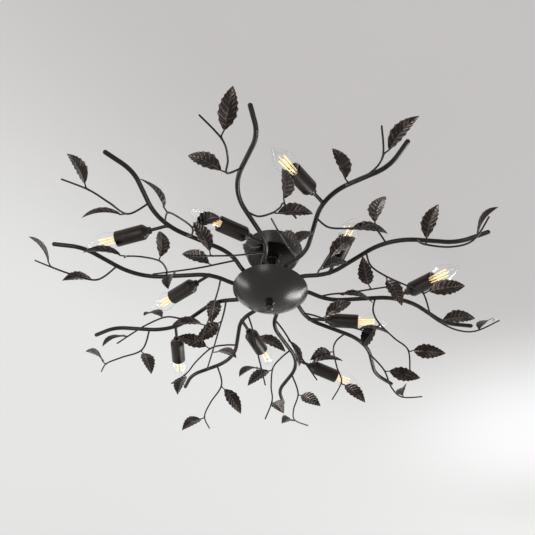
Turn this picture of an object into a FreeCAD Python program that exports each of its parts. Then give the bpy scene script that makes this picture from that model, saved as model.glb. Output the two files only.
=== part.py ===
"""Branch chandelier: ten bent tube arms on a small hub, with wire twigs, pressed leaves and candle lamps.

Millimetres, +Z up. The origin is the middle of the ceiling bracket's top face, so the lamp hangs in -Z.
An arm's own frame has +X outwards from the stem and z = 0 on the tubes' centre plane.
"""

import FreeCAD, Part
import math
import os

import Sketcher

Vector = FreeCAD.Vector
Rotation = FreeCAD.Rotation
Placement = FreeCAD.Placement

# ---------------------------------------------------------------- driving dimensions

SIZES = {
    # ceiling fixing
    "bracket_span": 104, "bracket_width": 20, "bracket_gauge": 2, "bracket_foot": 20, "bracket_joggle": 10,
    "slot_pitch": 84, "slot_length": 14, "slot_width": 5.2,
    "nipple_dia": 10, "nipple_bore": 7, "nipple_top_drop": 4,
    "nut_flats": 17, "nut_height": 5, "fit_gap": 0.05, "loose_gap": 0.3,
    "terminal_long": 28, "terminal_wide": 11, "terminal_high": 8, "terminal_way": 3, "terminal_ways": 3,
    # canopy, its collar and the stem
    "canopy_top_dia": 116, "canopy_bottom_dia": 100, "canopy_depth": 23, "canopy_bevel": 3, "sheet_gauge": 1.2,
    "stem_dia": 18, "stem_wall": 1.5,
    "collar_dia": 28, "collar_height": 9, "collar_chamfer": 1.5, "grub_dia": 3, "grub_length": 4.5,
    # hub and cover
    "arm_drop": 98, "hub_dia": 84, "hub_height": 24, "hub_wall": 2.5, "hub_plate": 2,
    "dome_dia": 142, "dome_depth": 33, "dome_rim_drop": 5, "dome_gauge": 1.2,
    "washer_dia": 20, "washer_gauge": 1, "nipple_reach": 9,
    "knob_dia": 17, "knob_height": 15, "knob_flange": 2.5, "knob_neck_dia": 13, "knob_neck_high": 0.5,
    "knob_tip_dia": 9, "knob_thread_end_gap": 1,
    # arms
    "arm_count": 10, "tube_dia": 8, "tube_wall": 1, "arm_reach": 386,
    "stub_dia": 6, "stub_wall": 1,
    # twigs and leaves
    "wire_dia": 3, "wire_bend_radius": 6, "stalk_dia": 2.4,
    "leaf_long": 64, "leaf_wide": 30, "leaf_gauge": 0.7, "leaf_fold": 16, "leaf_bend_radius": 80,
    "leaf_neck": 2, "leaf_widest": 0.42,
    # lamp, measured along its own axis from the middle of the arm's tube
    "lamp_dia": 28, "sleeve_wall": 0.8, "cup_start": 31, "cup_neck_dia": 13, "cup_cone_start": 36,
    "cup_shoulder": 47, "cup_rim": 2, "cup_shelf": 2, "cup_cone_drop": 5, "cup_spigot": 5, "lamp_front": 95,
    "holder_dia": 22, "holder_foot_dia": 9, "holder_foot_end": 42, "holder_back_dia": 14, "holder_start": 43,
    "holder_shoulder": 47, "holder_front": 74, "socket_floor": 55,
    "cap_dia": 13.8, "cap_thread_depth": 0.6, "cap_collar": 2.5, "cap_start": 57, "cap_end": 75,
    "cap_edge": 1, "contact_dia": 6, "contact_end": 56.5,
    "bulb_dia": 35, "bulb_neck_dia": 24.6, "bulb_belly": 114, "bulb_tip": 153, "glass_gauge": 0.8,
    "filament_dia": 2, "filament_start": 86, "filament_end": 121, "filament_ring": 4.4, "filament_count": 4,
    "filament_stem_dia": 4.8, "carrier_dia": 11.2, "carrier_gauge": 1.2, "filament_sink": 0.2,
}

# The knob's ball from its tip to its neck: shares of its radius and of its height.
KNOB_BALL = [(0.92, 0.225), (1.0, 0.5), (0.92, 0.75)]

# The bulb's side: shares of the neck's radius up to the lamp's front, of the belly's radius and of the rise
# from the front up to the belly, and of the belly's radius and of the taper from there to the tip.
GLASS_NECK = (0.72, 0.36)
GLASS_SHOULDER = (0.93, 0.53)
GLASS_TAPER = [(0.93, 0.25), (0.68, 0.52), (0.36, 0.78), (0.1, 1.0)]

# Lengths of cutting shapes, which only have to be long enough.
OVERRUN = 1
HUB_BORE_REACH = 30
LEAF_PRISM_ABOVE = 40
LEAF_PRISM_BELOW = 60
LEAF_STRIP_SPARE_DEGREES = 3

FILAMENT_LEAN_DEGREES = 2

# The tube's bends in its own frame: corner x and y, and the bend's radius.
ARM_START = (32, -20)
ARM_BENDS = [(66, -29, 80), (112, -29, 80), (222, -116, 110), (338, -95, 75)]
ARM_END_Y = -117

# Where the two kinds of arm carry their lamp: root on the tube, and the way the lamp points.
LAMPS = {
    "far": {"root": (211, -103), "points_to": (14, -89, -14)},
    "near": {"root": (113, -34), "points_to": (34, -91, -7)},
}

# Twigs in the arm's frame: the main wire's corners, then for each leaf the run of the wire that its stalk
# leaves, how far along that run, and the stalk's length.
TWIGS = {
    "outer": {
        "wire": [(268, -108, 0), (283, -130, -34), (325, -134, -49), (361, -148, -52), (387, -186, -42)],
        "leaves": [{"run": 1, "share": 0.0, "stalk": 12}, {"run": 3, "share": 0.0, "stalk": 14}],
    },
    "middle": {
        "wire": [(181, -84, 0), (190, -62, -10), (215, -46, -17), (250, -42, -38), (277, -43, -58),
                 (289, -21, -91)],
        "leaves": [{"run": 2, "share": 0.0, "stalk": 12}, {"run": 4, "share": 0.0, "stalk": 12}],
    },
    "inner": {
        "wire": [(91, -29, 0), (98, -54, -10), (110, -86, -26), (125, -125, -42), (139, -160, -56)],
        "leaves": [{"run": 1, "share": 0.4, "stalk": 10}, {"run": 3, "share": 0.0, "stalk": 12}],
    },
}

# How the arms were set by hand, in degrees: the arm's own turn about the stem, and each twig's turn about
# the arm's x, y and z at the twig's root.
ARM_KINDS = ["near", "far"]
FIRST_ARM_AZIMUTH = -81
ARM_TURNS = [1, 0, -1, 0, 0, 1, -2, -2, 1, 1]
TWIG_TURNS = {
    "outer": [(0, 3, 0), (-3, 0, 0), (0, 5, -8), (10, -15, 0), (-3, 3, 4), (3, 0, 3), (3, 20, 0), (3, 0, 0),
              (-18, -3, 12), (-4, 0, 0)],
    "middle": [(-10, 0, 11), (-10, 1, -4), (-10, 0, 6), (-12, -2, 3), (9, -5, -2), (-18, 0, -4), (3, 0, 3),
               (-5, -2, 0), (5, -5, 10), (-24, -7, 10)],
    "inner": [(5, 5, -5), (-5, 0, 5), (5, 5, -5), (-5, -5, 5), (5, 0, -10), (10, -5, 10), (15, -5, 0),
              (10, -5, 0), (-5, -5, -35), (-5, 0, 5)],
}

# Each leaf's heading about the arm's z, its rise and its roll, in steps of 5 degrees: the leaf nearer the
# twig's root first, then the one at its fork.
LEAF_AIMS = {
    "outer": [
        [(-60, -15, 10), (-70, -5, -30), (-65, 20, 15), (-70, -15, -40), (-70, -15, -50), (-60, 5, -30),
         (-80, -35, 0), (-90, -5, 0), (-55, -10, 0), (-65, -15, -30)],
        [(0, 35, 0), (-5, 25, 15), (-10, 55, 20), (5, 25, 10), (-5, 50, -20), (10, 20, 5),
         (0, 15, 0), (-10, 35, 5), (-25, 30, 0), (-40, 45, 10)],
    ],
    "middle": [
        [(50, -10, 5), (35, -15, 20), (60, -5, 10), (150, -55, 45), (65, 0, 30), (40, 0, 15),
         (65, 0, 35), (75, -30, 0), (55, -5, -20), (65, 0, 15)],
        [(-25, -10, -35), (-35, -15, 30), (-25, -15, -25), (-25, -5, -40), (-25, -15, -25), (-30, 0, 0),
         (-30, -5, -30), (-25, -5, -30), (-30, -10, -25), (-15, -10, -20)],
    ],
    "inner": [
        [(10, -30, 0), (-15, -15, 20), (-35, -15, 0), (-50, -35, 15), (-100, 5, -10), (-50, -20, 30),
         (-115, 0, -5), (-35, -15, 30), (-75, -15, 0), (-25, -20, 15)],
        [(-30, 15, -5), (20, -55, 0), (-40, 5, 0), (-130, 80, 0), (-45, 0, 45), (-120, 15, 15),
         (-5, 5, -35), (-120, 30, 0), (-10, 0, 0), (30, -65, 45)],
    ],
}


class Size:
    """A length from the sheet, with the expression that ties it to its cells."""

    def __init__(self, value, text):
        self.value = value
        self.text = text

    def __add__(self, other):
        other = as_size(other)
        return Size(self.value + other.value, f"({self.text} + {other.text})")

    def __sub__(self, other):
        other = as_size(other)
        return Size(self.value - other.value, f"({self.text} - {other.text})")

    def __mul__(self, factor):
        return Size(self.value * factor, f"({self.text} * {factor})")

    def __truediv__(self, divisor):
        divisor = as_size(divisor)
        return Size(self.value / divisor.value, f"({self.text} / {divisor.text})")

    def __neg__(self):
        return Size(-self.value, f"(0 - {self.text})")


def as_size(value):
    return value if isinstance(value, Size) else Size(value, str(value))


ZERO = Size(0.0, "0")
doc = FreeCAD.newDocument("branch_chandelier")
sheet = doc.addObject("Spreadsheet::Sheet", "sizes")
for row, (alias, value) in enumerate(SIZES.items(), start=1):
    sheet.set(f"A{row}", alias)
    sheet.set(f"B{row}", str(value))
    sheet.setAlias(f"B{row}", alias)
doc.recompute()


def size(alias):
    return Size(float(getattr(sheet, alias)), f"sizes.{alias}")


# ---------------------------------------------------------------- document helpers


def bind(feature, **values):
    """Ties the feature's properties to the sheet."""
    for name, value in values.items():
        feature.setExpression(name, as_size(value).text)


def origin_plane(body, role):
    return [item for item in body.Origin.OriginFeatures if item.Role == role][0]


def tie(sketch, kind, vertex, length):
    """Fixes one coordinate of a sketch vertex, to an axis where it is zero and to the sheet elsewhere."""
    if abs(length.value) < 1e-9:
        axis = -2 if kind == "DistanceX" else -1
        sketch.addConstraint(Sketcher.Constraint("PointOnObject", vertex, 1, axis))
        return
    index = sketch.addConstraint(Sketcher.Constraint(kind, -1, 1, vertex, 1, length.value))
    sketch.setExpression(f"Constraints[{index}]", length.text)


def outline(body, name, corners, role):
    """A closed sketch of straight lines whose corners are pairs of sizes."""
    sketch = body.newObject("Sketcher::SketchObject", name)
    sketch.AttachmentSupport = [(origin_plane(body, role), "")]
    sketch.MapMode = "FlatFace"
    points = [Vector(x.value, y.value, 0) for x, y in corners]
    count = len(points)
    sketch.addGeometry([Part.LineSegment(points[i], points[(i + 1) % count]) for i in range(count)])
    for i in range(count):
        sketch.addConstraint(Sketcher.Constraint("Coincident", i, 2, (i + 1) % count, 1))
    for i, (x, y) in enumerate(corners):
        tie(sketch, "DistanceX", i, x)
        tie(sketch, "DistanceY", i, y)
    return sketch


def turned(name, corners):
    """A body turned about +Z from (radius, height) corners."""
    body = doc.addObject("PartDesign::Body", name)
    sketch = outline(body, f"{name}_profile", [(as_size(r), as_size(z)) for r, z in corners], "XZ_Plane")
    revolution = body.newObject("PartDesign::Revolution", f"{name}_turn")
    revolution.Profile = sketch
    revolution.ReferenceAxis = (sketch, ["V_Axis"])
    revolution.Angle = 360
    return body


def primitive(kind, name, **values):
    feature = doc.addObject(f"Part::{kind}", name)
    bind(feature, **values)
    return feature


def cut(name, base, tool):
    feature = doc.addObject("Part::Cut", name)
    feature.Base = base
    feature.Tool = tool
    return feature


def fuse(name, *shapes):
    feature = doc.addObject("Part::MultiFuse", name)
    feature.Shapes = list(shapes)
    return feature


def group(name, *shapes):
    feature = doc.addObject("Part::Compound", name)
    feature.Links = list(shapes)
    return feature


def placed(name, source, placement):
    """The same piece again at another place."""
    copy = group(name, source)
    copy.Placement = placement
    return copy


def lift(feature, height):
    """Sets a feature's height from the sheet."""
    feature.setExpression("Placement.Base.z", as_size(height).text)
    return feature


def ring(name, outer, inner, height, level):
    """A flat ring whose lower face is at the given level."""
    blank = primitive("Cylinder", f"{name}_blank", Radius=outer / 2, Height=height)
    hole = primitive("Cylinder", f"{name}_hole", Radius=inner / 2, Height=as_size(height) + 2 * OVERRUN)
    lift(blank, level)
    lift(hole, as_size(level) - OVERRUN)
    return cut(name, blank, hole)


def hex_nut(name, level):
    blank = primitive("Prism", f"{name}_blank", Circumradius=size("nut_flats") / math.sqrt(3),
                      Height=size("nut_height"))
    blank.Polygon = 6
    hole = primitive("Cylinder", f"{name}_hole", Radius=size("nipple_dia") / 2 + size("fit_gap"),
                     Height=size("nut_height") + 2 * OVERRUN)
    lift(blank, level)
    lift(hole, as_size(level) - OVERRUN)
    return cut(name, blank, hole)


# ---------------------------------------------------------------- ceiling fixing and stem


def ceiling_bracket():
    """A joggled strap: its two feet lie on the ceiling and its middle stands off for the nut."""
    body = doc.addObject("PartDesign::Body", "ceiling_bracket")
    half = size("bracket_span") / 2
    foot = half - size("bracket_foot")
    step = foot - size("bracket_joggle")
    gauge = size("bracket_gauge")
    low = size("bracket_joggle")
    # heights are measured up from the underside of the middle
    corners = [(half, low), (half, low + gauge), (foot, low + gauge), (step, gauge), (-step, gauge),
               (-foot, low + gauge), (-half, low + gauge), (-half, low), (-foot, low), (-step, ZERO),
               (step, ZERO), (foot, low)]
    sketch = outline(body, "bracket_side", corners, "XZ_Plane")
    pad = body.newObject("PartDesign::Pad", "bracket_strap")
    pad.Profile = sketch
    pad.Midplane = True
    bind(pad, Length=size("bracket_width"))
    slots = body.newObject("Sketcher::SketchObject", "bracket_slot_lines")
    slots.AttachmentSupport = [(origin_plane(body, "XY_Plane"), "")]
    slots.MapMode = "FlatFace"
    for side in (-1, 1):
        slot_outline(slots, side)
    pocket = body.newObject("PartDesign::Pocket", "bracket_slots")
    pocket.Profile = slots
    pocket.Type = "ThroughAll"
    pocket.Midplane = True
    hole = body.newObject("Sketcher::SketchObject", "bracket_middle_line")
    hole.AttachmentSupport = [(origin_plane(body, "XY_Plane"), "")]
    hole.MapMode = "FlatFace"
    hole.addGeometry(Part.Circle(Vector(0, 0, 0), Vector(0, 0, 1), size("nipple_dia").value / 2))
    hole.addConstraint(Sketcher.Constraint("Coincident", 0, 3, -1, 1))
    radius = size("nipple_dia") / 2 + size("fit_gap")
    index = hole.addConstraint(Sketcher.Constraint("Radius", 0, radius.value))
    hole.setExpression(f"Constraints[{index}]", radius.text)
    middle = body.newObject("PartDesign::Pocket", "bracket_middle")
    middle.Profile = hole
    middle.Type = "ThroughAll"
    middle.Midplane = True
    lift(body, -(low + gauge))
    return body


def slot_outline(sketch, side):
    """One rounded slot, centred on the pitch line and running along X."""
    middle = size("slot_pitch").value / 2 * side
    radius = size("slot_width").value / 2
    reach = (size("slot_length").value - size("slot_width").value) / 2
    first = sketch.GeometryCount
    right, left = middle + reach, middle - reach
    sketch.addGeometry([
        Part.LineSegment(Vector(left, -radius, 0), Vector(right, -radius, 0)),
        Part.ArcOfCircle(Part.Circle(Vector(right, 0, 0), Vector(0, 0, 1), radius), -math.pi / 2, math.pi / 2),
        Part.LineSegment(Vector(right, radius, 0), Vector(left, radius, 0)),
        Part.ArcOfCircle(Part.Circle(Vector(left, 0, 0), Vector(0, 0, 1), radius), math.pi / 2, 3 * math.pi / 2),
    ])
    joints = [(0, 2, 1, 1), (1, 2, 2, 1), (2, 2, 3, 1), (3, 2, 0, 1)]
    for a, end, b, start in joints:
        sketch.addConstraint(Sketcher.Constraint("Tangent", first + a, end, first + b, start))
    sketch.addConstraint(Sketcher.Constraint("Horizontal", first))
    for arc in (first + 1, first + 3):
        sketch.addConstraint(Sketcher.Constraint("PointOnObject", arc, 3, -1))
    half_width = size("slot_width") / 2
    index = sketch.addConstraint(Sketcher.Constraint("Radius", first + 1, half_width.value))
    sketch.setExpression(f"Constraints[{index}]", half_width.text)
    half_pitch = size("slot_pitch") / 2
    half_reach = (size("slot_length") - size("slot_width")) / 2
    near = half_pitch - half_reach
    far = half_pitch + half_reach
    for arc, length in ((first + 1, far if side > 0 else -near), (first + 3, near if side > 0 else -far)):
        index = sketch.addConstraint(Sketcher.Constraint("DistanceX", -1, 1, arc, 3, length.value))
        sketch.setExpression(f"Constraints[{index}]", length.text)


def terminal_block():
    """Screw terminal on the strap's underside, beside the nut."""
    long, wide, high = size("terminal_long"), size("terminal_wide"), size("terminal_high")
    block = primitive("Box", "terminal_housing", Length=wide, Width=long, Height=high)
    count = int(size("terminal_ways").value)
    ways = []
    for index in range(count):
        way = primitive("Cylinder", f"terminal_way_{index + 1}", Radius=size("terminal_way") / 2,
                        Height=wide + 2 * OVERRUN)
        middle = long * ((index + 0.5) / count)
        way.Placement = Placement(Vector(-OVERRUN, middle.value, high.value / 2), Rotation(Vector(0, 1, 0), 90))
        way.setExpression("Placement.Base.y", middle.text)
        way.setExpression("Placement.Base.z", (high / 2).text)
        ways.append(way)
    body = cut("terminal_block", block, fuse("terminal_bores", *ways))
    body.setExpression("Placement.Base.x", (size("nut_flats") / math.sqrt(3) + size("loose_gap")).text)
    body.setExpression("Placement.Base.y", (-(long / 2)).text)
    return lift(body, -(size("bracket_joggle") + size("bracket_gauge") + high))


def canopy():
    """A shallow flared cup, open to the ceiling, that slides on the stem."""
    top = size("canopy_top_dia") / 2
    bottom = size("canopy_bottom_dia") / 2
    gauge = size("sheet_gauge")
    depth = size("canopy_depth")
    bevel = size("canopy_bevel")
    bore = size("stem_dia") / 2 + size("loose_gap")
    body = turned("canopy", [(bore, ZERO), (bottom - bevel, ZERO), (bottom, bevel), (top, depth),
                             (top - gauge, depth), (bottom - gauge, bevel), (bottom - bevel - gauge, gauge),
                             (bore, gauge)])
    return lift(body, -depth)


def canopy_collar():
    outer = size("collar_dia") / 2
    bore = size("stem_dia") / 2 + size("loose_gap")
    height = size("collar_height")
    edge = size("collar_chamfer")
    body = turned("collar_blank", [(bore, ZERO), (outer - edge, ZERO), (outer, edge),
                                   (outer, height - edge), (outer - edge, height), (bore, height)])
    hole = primitive("Cylinder", "grub_hole", Radius=size("grub_dia") / 2 + size("fit_gap"),
                     Height=outer + OVERRUN)
    hole.Placement = Placement(Vector(0, 0, size("collar_height").value / 2), Rotation(Vector(1, 0, 0), -90))
    hole.setExpression("Placement.Base.z", (height / 2).text)
    collar = cut("canopy_collar", body, hole)
    return lift(collar, -(size("canopy_depth") + height))


def collar_screw():
    """The grub screw that locks the collar on the stem."""
    screw = primitive("Cylinder", "collar_screw", Radius=size("grub_dia") / 2, Height=size("grub_length"))
    reach = size("stem_dia") / 2 + size("fit_gap")
    level = -(size("canopy_depth") + size("collar_height") / 2)
    screw.Placement = Placement(Vector(0, reach.value, level.value), Rotation(Vector(1, 0, 0), -90))
    screw.setExpression("Placement.Base.y", reach.text)
    return lift(screw, level)


def stem_tube():
    top = size("bracket_joggle") + size("bracket_gauge") + size("nut_height")
    bottom = size("arm_drop") - size("hub_height") / 2 - size("hub_plate")
    inner = size("stem_dia") - size("stem_wall") * 2
    return ring("stem_tube", size("stem_dia"), inner, bottom - top, -bottom)


def stem_nipple():
    """The hollow threaded tube that ties bracket, hub and cover together and carries the leads."""
    top = size("nipple_top_drop")
    knob_top = size("arm_drop") + size("dome_rim_drop") + size("dome_depth") + size("washer_gauge")
    bottom = knob_top + size("nipple_reach")
    return ring("stem_nipple", size("nipple_dia"), size("nipple_bore"), bottom - top, -bottom)


def stem_locknuts():
    strap_top = -size("bracket_joggle")
    strap_bottom = -(size("bracket_joggle") + size("bracket_gauge") + size("nut_height"))
    hub_bottom = -(size("arm_drop") + size("hub_height") / 2 + size("hub_plate") + size("nut_height"))
    return group("stem_locknuts", hex_nut("strap_upper_nut", strap_top), hex_nut("strap_lower_nut", strap_bottom),
                 hex_nut("hub_nut", hub_bottom))


# ---------------------------------------------------------------- hub and cover


def arm_placement(index):
    turn = FIRST_ARM_AZIMUTH + 360 * index / size("arm_count").value + ARM_TURNS[index]
    return Placement(Vector(0, 0, -size("arm_drop").value), Rotation(Vector(0, 0, 1), turn))


def hub_drum():
    wall = size("hub_dia") - size("hub_wall") * 2
    level = -(size("arm_drop") + size("hub_height") / 2)
    blank = ring("hub_ring", size("hub_dia"), wall, size("hub_height"), level)
    entry = Vector(*ARM_START, 0)
    heading = Vector(*ARM_BENDS[0][:2], 0) - entry
    bores = []
    for index in range(int(size("arm_count").value)):
        bore = primitive("Cylinder", f"hub_bore_{index + 1}", Radius=size("tube_dia") / 2 + size("fit_gap"),
                         Height=as_size(HUB_BORE_REACH))
        local = Placement(entry, Rotation(Vector(0, 0, 1), heading))
        bore.Placement = arm_placement(index) * local
        bores.append(bore)
    return cut("hub_drum", blank, fuse("hub_bores", *bores))


def hub_lid():
    level = -(size("arm_drop") - size("hub_height") / 2)
    return ring("hub_lid", size("hub_dia"), size("nipple_dia") + size("fit_gap") * 2, size("hub_plate"), level)


def hub_base():
    level = -(size("arm_drop") + size("hub_height") / 2 + size("hub_plate"))
    return ring("hub_base", size("hub_dia"), size("nipple_dia") + size("fit_gap") * 2, size("hub_plate"), level)


def dome_cover():
    """A shallow spun bowl with its rim just below the tubes."""
    half, depth = size("dome_dia").value / 2, size("dome_depth").value
    radius = Size((half ** 2 + depth ** 2) / (2 * depth),
                  "(((sizes.dome_dia / 2) ^ 2 + sizes.dome_depth ^ 2) / (2 * sizes.dome_depth))")
    outer = primitive("Sphere", "dome_outer", Radius=radius)
    inner = primitive("Sphere", "dome_inner", Radius=radius - size("dome_gauge"))
    for ball in (outer, inner):
        ball.Angle1 = -90
    outer.setExpression("Angle2", f"-asin(({radius.text} - sizes.dome_depth) / ({radius.text}))")
    inner.Angle2 = 0
    hole = primitive("Cylinder", "dome_hole", Radius=size("nipple_dia") / 2 + size("loose_gap"), Height=radius * 2)
    hole.setExpression("Placement.Base.z", (-(radius * 2)).text)
    dome = cut("dome_cover", outer, fuse("dome_inside", inner, hole))
    return lift(dome, radius - size("dome_depth") - size("arm_drop") - size("dome_rim_drop"))


def finial_washer():
    level = -(size("arm_drop") + size("dome_rim_drop") + size("dome_depth") + size("washer_gauge"))
    return ring("finial_washer", size("washer_dia"), size("nipple_dia") + size("loose_gap") * 2,
                size("washer_gauge"), level)


def finial_knob():
    """A small turned knob with a blind thread, which holds the cover up."""
    radius, neck, tip = size("knob_dia") / 2, size("knob_neck_dia") / 2, size("knob_tip_dia") / 2
    height = size("knob_height")
    bore = size("nipple_dia") / 2 + size("fit_gap")
    ceiling = height - size("nipple_reach") - size("knob_thread_end_gap")
    flange = height - size("knob_flange")
    ball = [(radius * across, flange * up) for across, up in KNOB_BALL]
    knob = turned("finial_knob", [(ZERO, ZERO), (tip, ZERO)] + ball + [
        (neck, flange - size("knob_neck_high")), (radius, flange), (radius, height), (bore, height),
        (bore, ceiling), (ZERO, ceiling)])
    lower = size("arm_drop") + size("dome_rim_drop") + size("dome_depth") + size("washer_gauge")
    return lift(knob, -(lower + height))


# ---------------------------------------------------------------- bent tube and wire


def bent_path(points, radii):
    """Straight runs joined by tangent arcs."""
    edges = []
    start = points[0]
    for before, corner, after, radius in zip(points, points[1:], points[2:], radii):
        back = (before - corner).normalize()
        ahead = (after - corner).normalize()
        half_turn = (math.pi - back.getAngle(ahead)) / 2
        reach = radius * math.tan(half_turn)
        centre_way = (back + ahead).normalize()
        middle = corner + centre_way * (radius / math.cos(half_turn) - radius)
        arc_start, arc_end = corner + back * reach, corner + ahead * reach
        edges.append(Part.LineSegment(start, arc_start).toShape())
        edges.append(Part.Arc(arc_start, middle, arc_end).toShape())
        start = arc_end
    edges.append(Part.LineSegment(start, points[-1]).toShape())
    return Part.Wire(edges)


def swept(name, points, radii, section_radius):
    """A round bar along a bent path; its volume is compared with section times length."""
    path = doc.addObject("Part::Feature", f"{name}_path")
    path.Shape = bent_path(points, radii)
    section = doc.addObject("Part::Circle", f"{name}_section")
    bind(section, Radius=section_radius)
    section.Placement = Placement(points[0], Rotation(Vector(0, 0, 1), points[1] - points[0]))
    bar = doc.addObject("Part::Sweep", name)
    bar.Sections = [section]
    bar.Spine = (path, [f"Edge{i + 1}" for i in range(len(path.Shape.Edges))])
    bar.Solid = True
    doc.recompute()
    expected = math.pi * as_size(section_radius).value ** 2 * path.Shape.Length
    if abs(bar.Shape.Volume / expected - 1) > 0.01:
        raise RuntimeError(f"{name} swept to {bar.Shape.Volume:.0f}, not {expected:.0f} mm3")
    return bar


def arm_points():
    corners = [ARM_START] + [(x, y) for x, y, _ in ARM_BENDS] + [(size("arm_reach").value, ARM_END_Y)]
    return [Vector(x, y, 0) for x, y in corners]


def lamp_frame(kind):
    """The lamp's own frame: +Z along its axis, origin on the tube's centre line."""
    lamp = LAMPS[kind]
    return Placement(Vector(*lamp["root"], 0), Rotation(Vector(0, 0, 1), Vector(*lamp["points_to"])))


def arm_of_kind(kind, outer, inner):
    """The bent tube with the stub that carries its lamp, bored through for the lead."""
    end = size("cup_cone_start") + size("sheet_gauge")
    stub = primitive("Cylinder", f"{kind}_stub", Radius=size("stub_dia") / 2, Height=end)
    way = primitive("Cylinder", f"{kind}_stub_bore", Radius=size("stub_dia") / 2 - size("stub_wall"),
                    Height=end + OVERRUN)
    for piece in (stub, way):
        piece.Placement = lamp_frame(kind)
    return cut(f"{kind}_arm", fuse(f"{kind}_arm_outside", outer, stub), fuse(f"{kind}_arm_inside", inner, way))


def twig_wire(family, radius):
    wire = [Vector(*point) for point in TWIGS[family]["wire"]]
    bends = [size("wire_bend_radius").value] * (len(wire) - 2)
    return swept(f"{family}_wire", wire, bends, radius)


def leaf_way(family, arm, leaf_index):
    """Where a leaf's stalk leaves the wire, where it ends, and the way it points."""
    leaf = TWIGS[family]["leaves"][leaf_index]
    heading, rise, _ = LEAF_AIMS[family][leaf_index][arm]
    flat = math.cos(math.radians(rise))
    way = Vector(flat * math.cos(math.radians(heading)), flat * math.sin(math.radians(heading)),
                 math.sin(math.radians(rise)))
    run_start, run_end = (Vector(*point) for point in TWIGS[family]["wire"][leaf["run"]:leaf["run"] + 2])
    start = run_start + (run_end - run_start) * leaf["share"]
    return start, start + way * leaf["stalk"], way


def stalk(name, start, end):
    bar = primitive("Cylinder", name, Radius=size("stalk_dia") / 2)
    bar.Height = (end - start).Length
    bar.Placement = Placement(start, Rotation(Vector(0, 0, 1), end - start))
    return bar


def twig_turn(kind, index):
    """A twig's hand-set turn about its root on the tube."""
    root = Vector(*TWIGS[kind]["wire"][0])
    x, y, z = TWIG_TURNS[kind][index]
    turn = Rotation(Vector(0, 0, 1), z) * Rotation(Vector(0, 1, 0), y) * Rotation(Vector(1, 0, 0), x)
    return Placement(root, turn) * Placement(-root, Rotation())


# ---------------------------------------------------------------- leaf


def leaf_blank():
    """A pressed leaf: base at the origin, +X to the tip, folded along its rib and drooping to -Z."""
    fold = math.tan(math.radians(size("leaf_fold").value))
    half, gauge = size("leaf_wide").value / 2, size("leaf_gauge").value
    radius = size("leaf_bend_radius").value
    corners = [(-half, half * fold), (0, 0), (half, half * fold), (half, half * fold + gauge), (0, gauge),
               (-half, half * fold + gauge)]
    section = doc.addObject("Part::Polygon", "leaf_section")
    section.Nodes = [Vector(0, y, z) for y, z in corners]
    section.Close = True
    strip = doc.addObject("Part::Revolution", "leaf_strip")
    strip.Source = section
    strip.Solid = True
    strip.Axis = Vector(0, 1, 0)
    strip.Base = Vector(0, 0, -radius)
    bend = size("leaf_long") / size("leaf_bend_radius") * math.degrees(1) + LEAF_STRIP_SPARE_DEGREES
    bind(strip, Angle=bend)
    plan = doc.addObject("Part::Feature", "leaf_plan")
    plan.Shape = leaf_plan(half)
    prism = doc.addObject("Part::Extrusion", "leaf_prism")
    prism.Base = plan
    prism.DirMode = "Custom"
    prism.Dir = Vector(0, 0, 1)
    prism.LengthFwd = LEAF_PRISM_ABOVE
    prism.LengthRev = LEAF_PRISM_BELOW
    prism.Solid = True
    leaf = doc.addObject("Part::Common", "leaf")
    leaf.Base = strip
    leaf.Tool = prism
    return leaf


def leaf_plan(half):
    """The leaf's outline seen from above: on each side two arcs that meet at the widest place."""
    radius = size("leaf_bend_radius").value
    reach = radius * math.sin(size("leaf_long").value / radius)
    widest = size("leaf_widest").value * reach
    neck = size("leaf_neck").value / 2
    edges = []
    for side in (1, -1):
        for start_x, start_y, span in ((0, neck, widest), (reach, 0, widest - reach)):
            rise = half - start_y
            bend = (span ** 2 + rise ** 2) / (2 * rise)
            angle = math.asin(abs(span) / bend) / 2
            middle = Vector(widest - math.copysign(bend * math.sin(angle), span),
                            side * (half - bend * (1 - math.cos(angle))), 0)
            start = Vector(start_x, side * start_y, 0)
            edges.append(Part.Arc(start, middle, Vector(widest, side * half, 0)).toShape())
    edges.append(Part.LineSegment(Vector(0, neck, 0), Vector(0, -neck, 0)).toShape())
    return Part.Face(Part.Wire(Part.__sortEdges__(edges)))


def leaf_place(base, along, roll):
    """Puts the leaf's chord along the given way and rolls it about that chord."""
    chord_droop = math.degrees(size("leaf_long").value / size("leaf_bend_radius").value) / 2
    side = Vector(0, 0, 1).cross(along).normalize()
    facing = Rotation(along, side, along.cross(side), "XYZ")
    return Placement(base, facing * Rotation(Vector(1, 0, 0), roll) * Rotation(Vector(0, 1, 0), -chord_droop))


# ---------------------------------------------------------------- lamp


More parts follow.
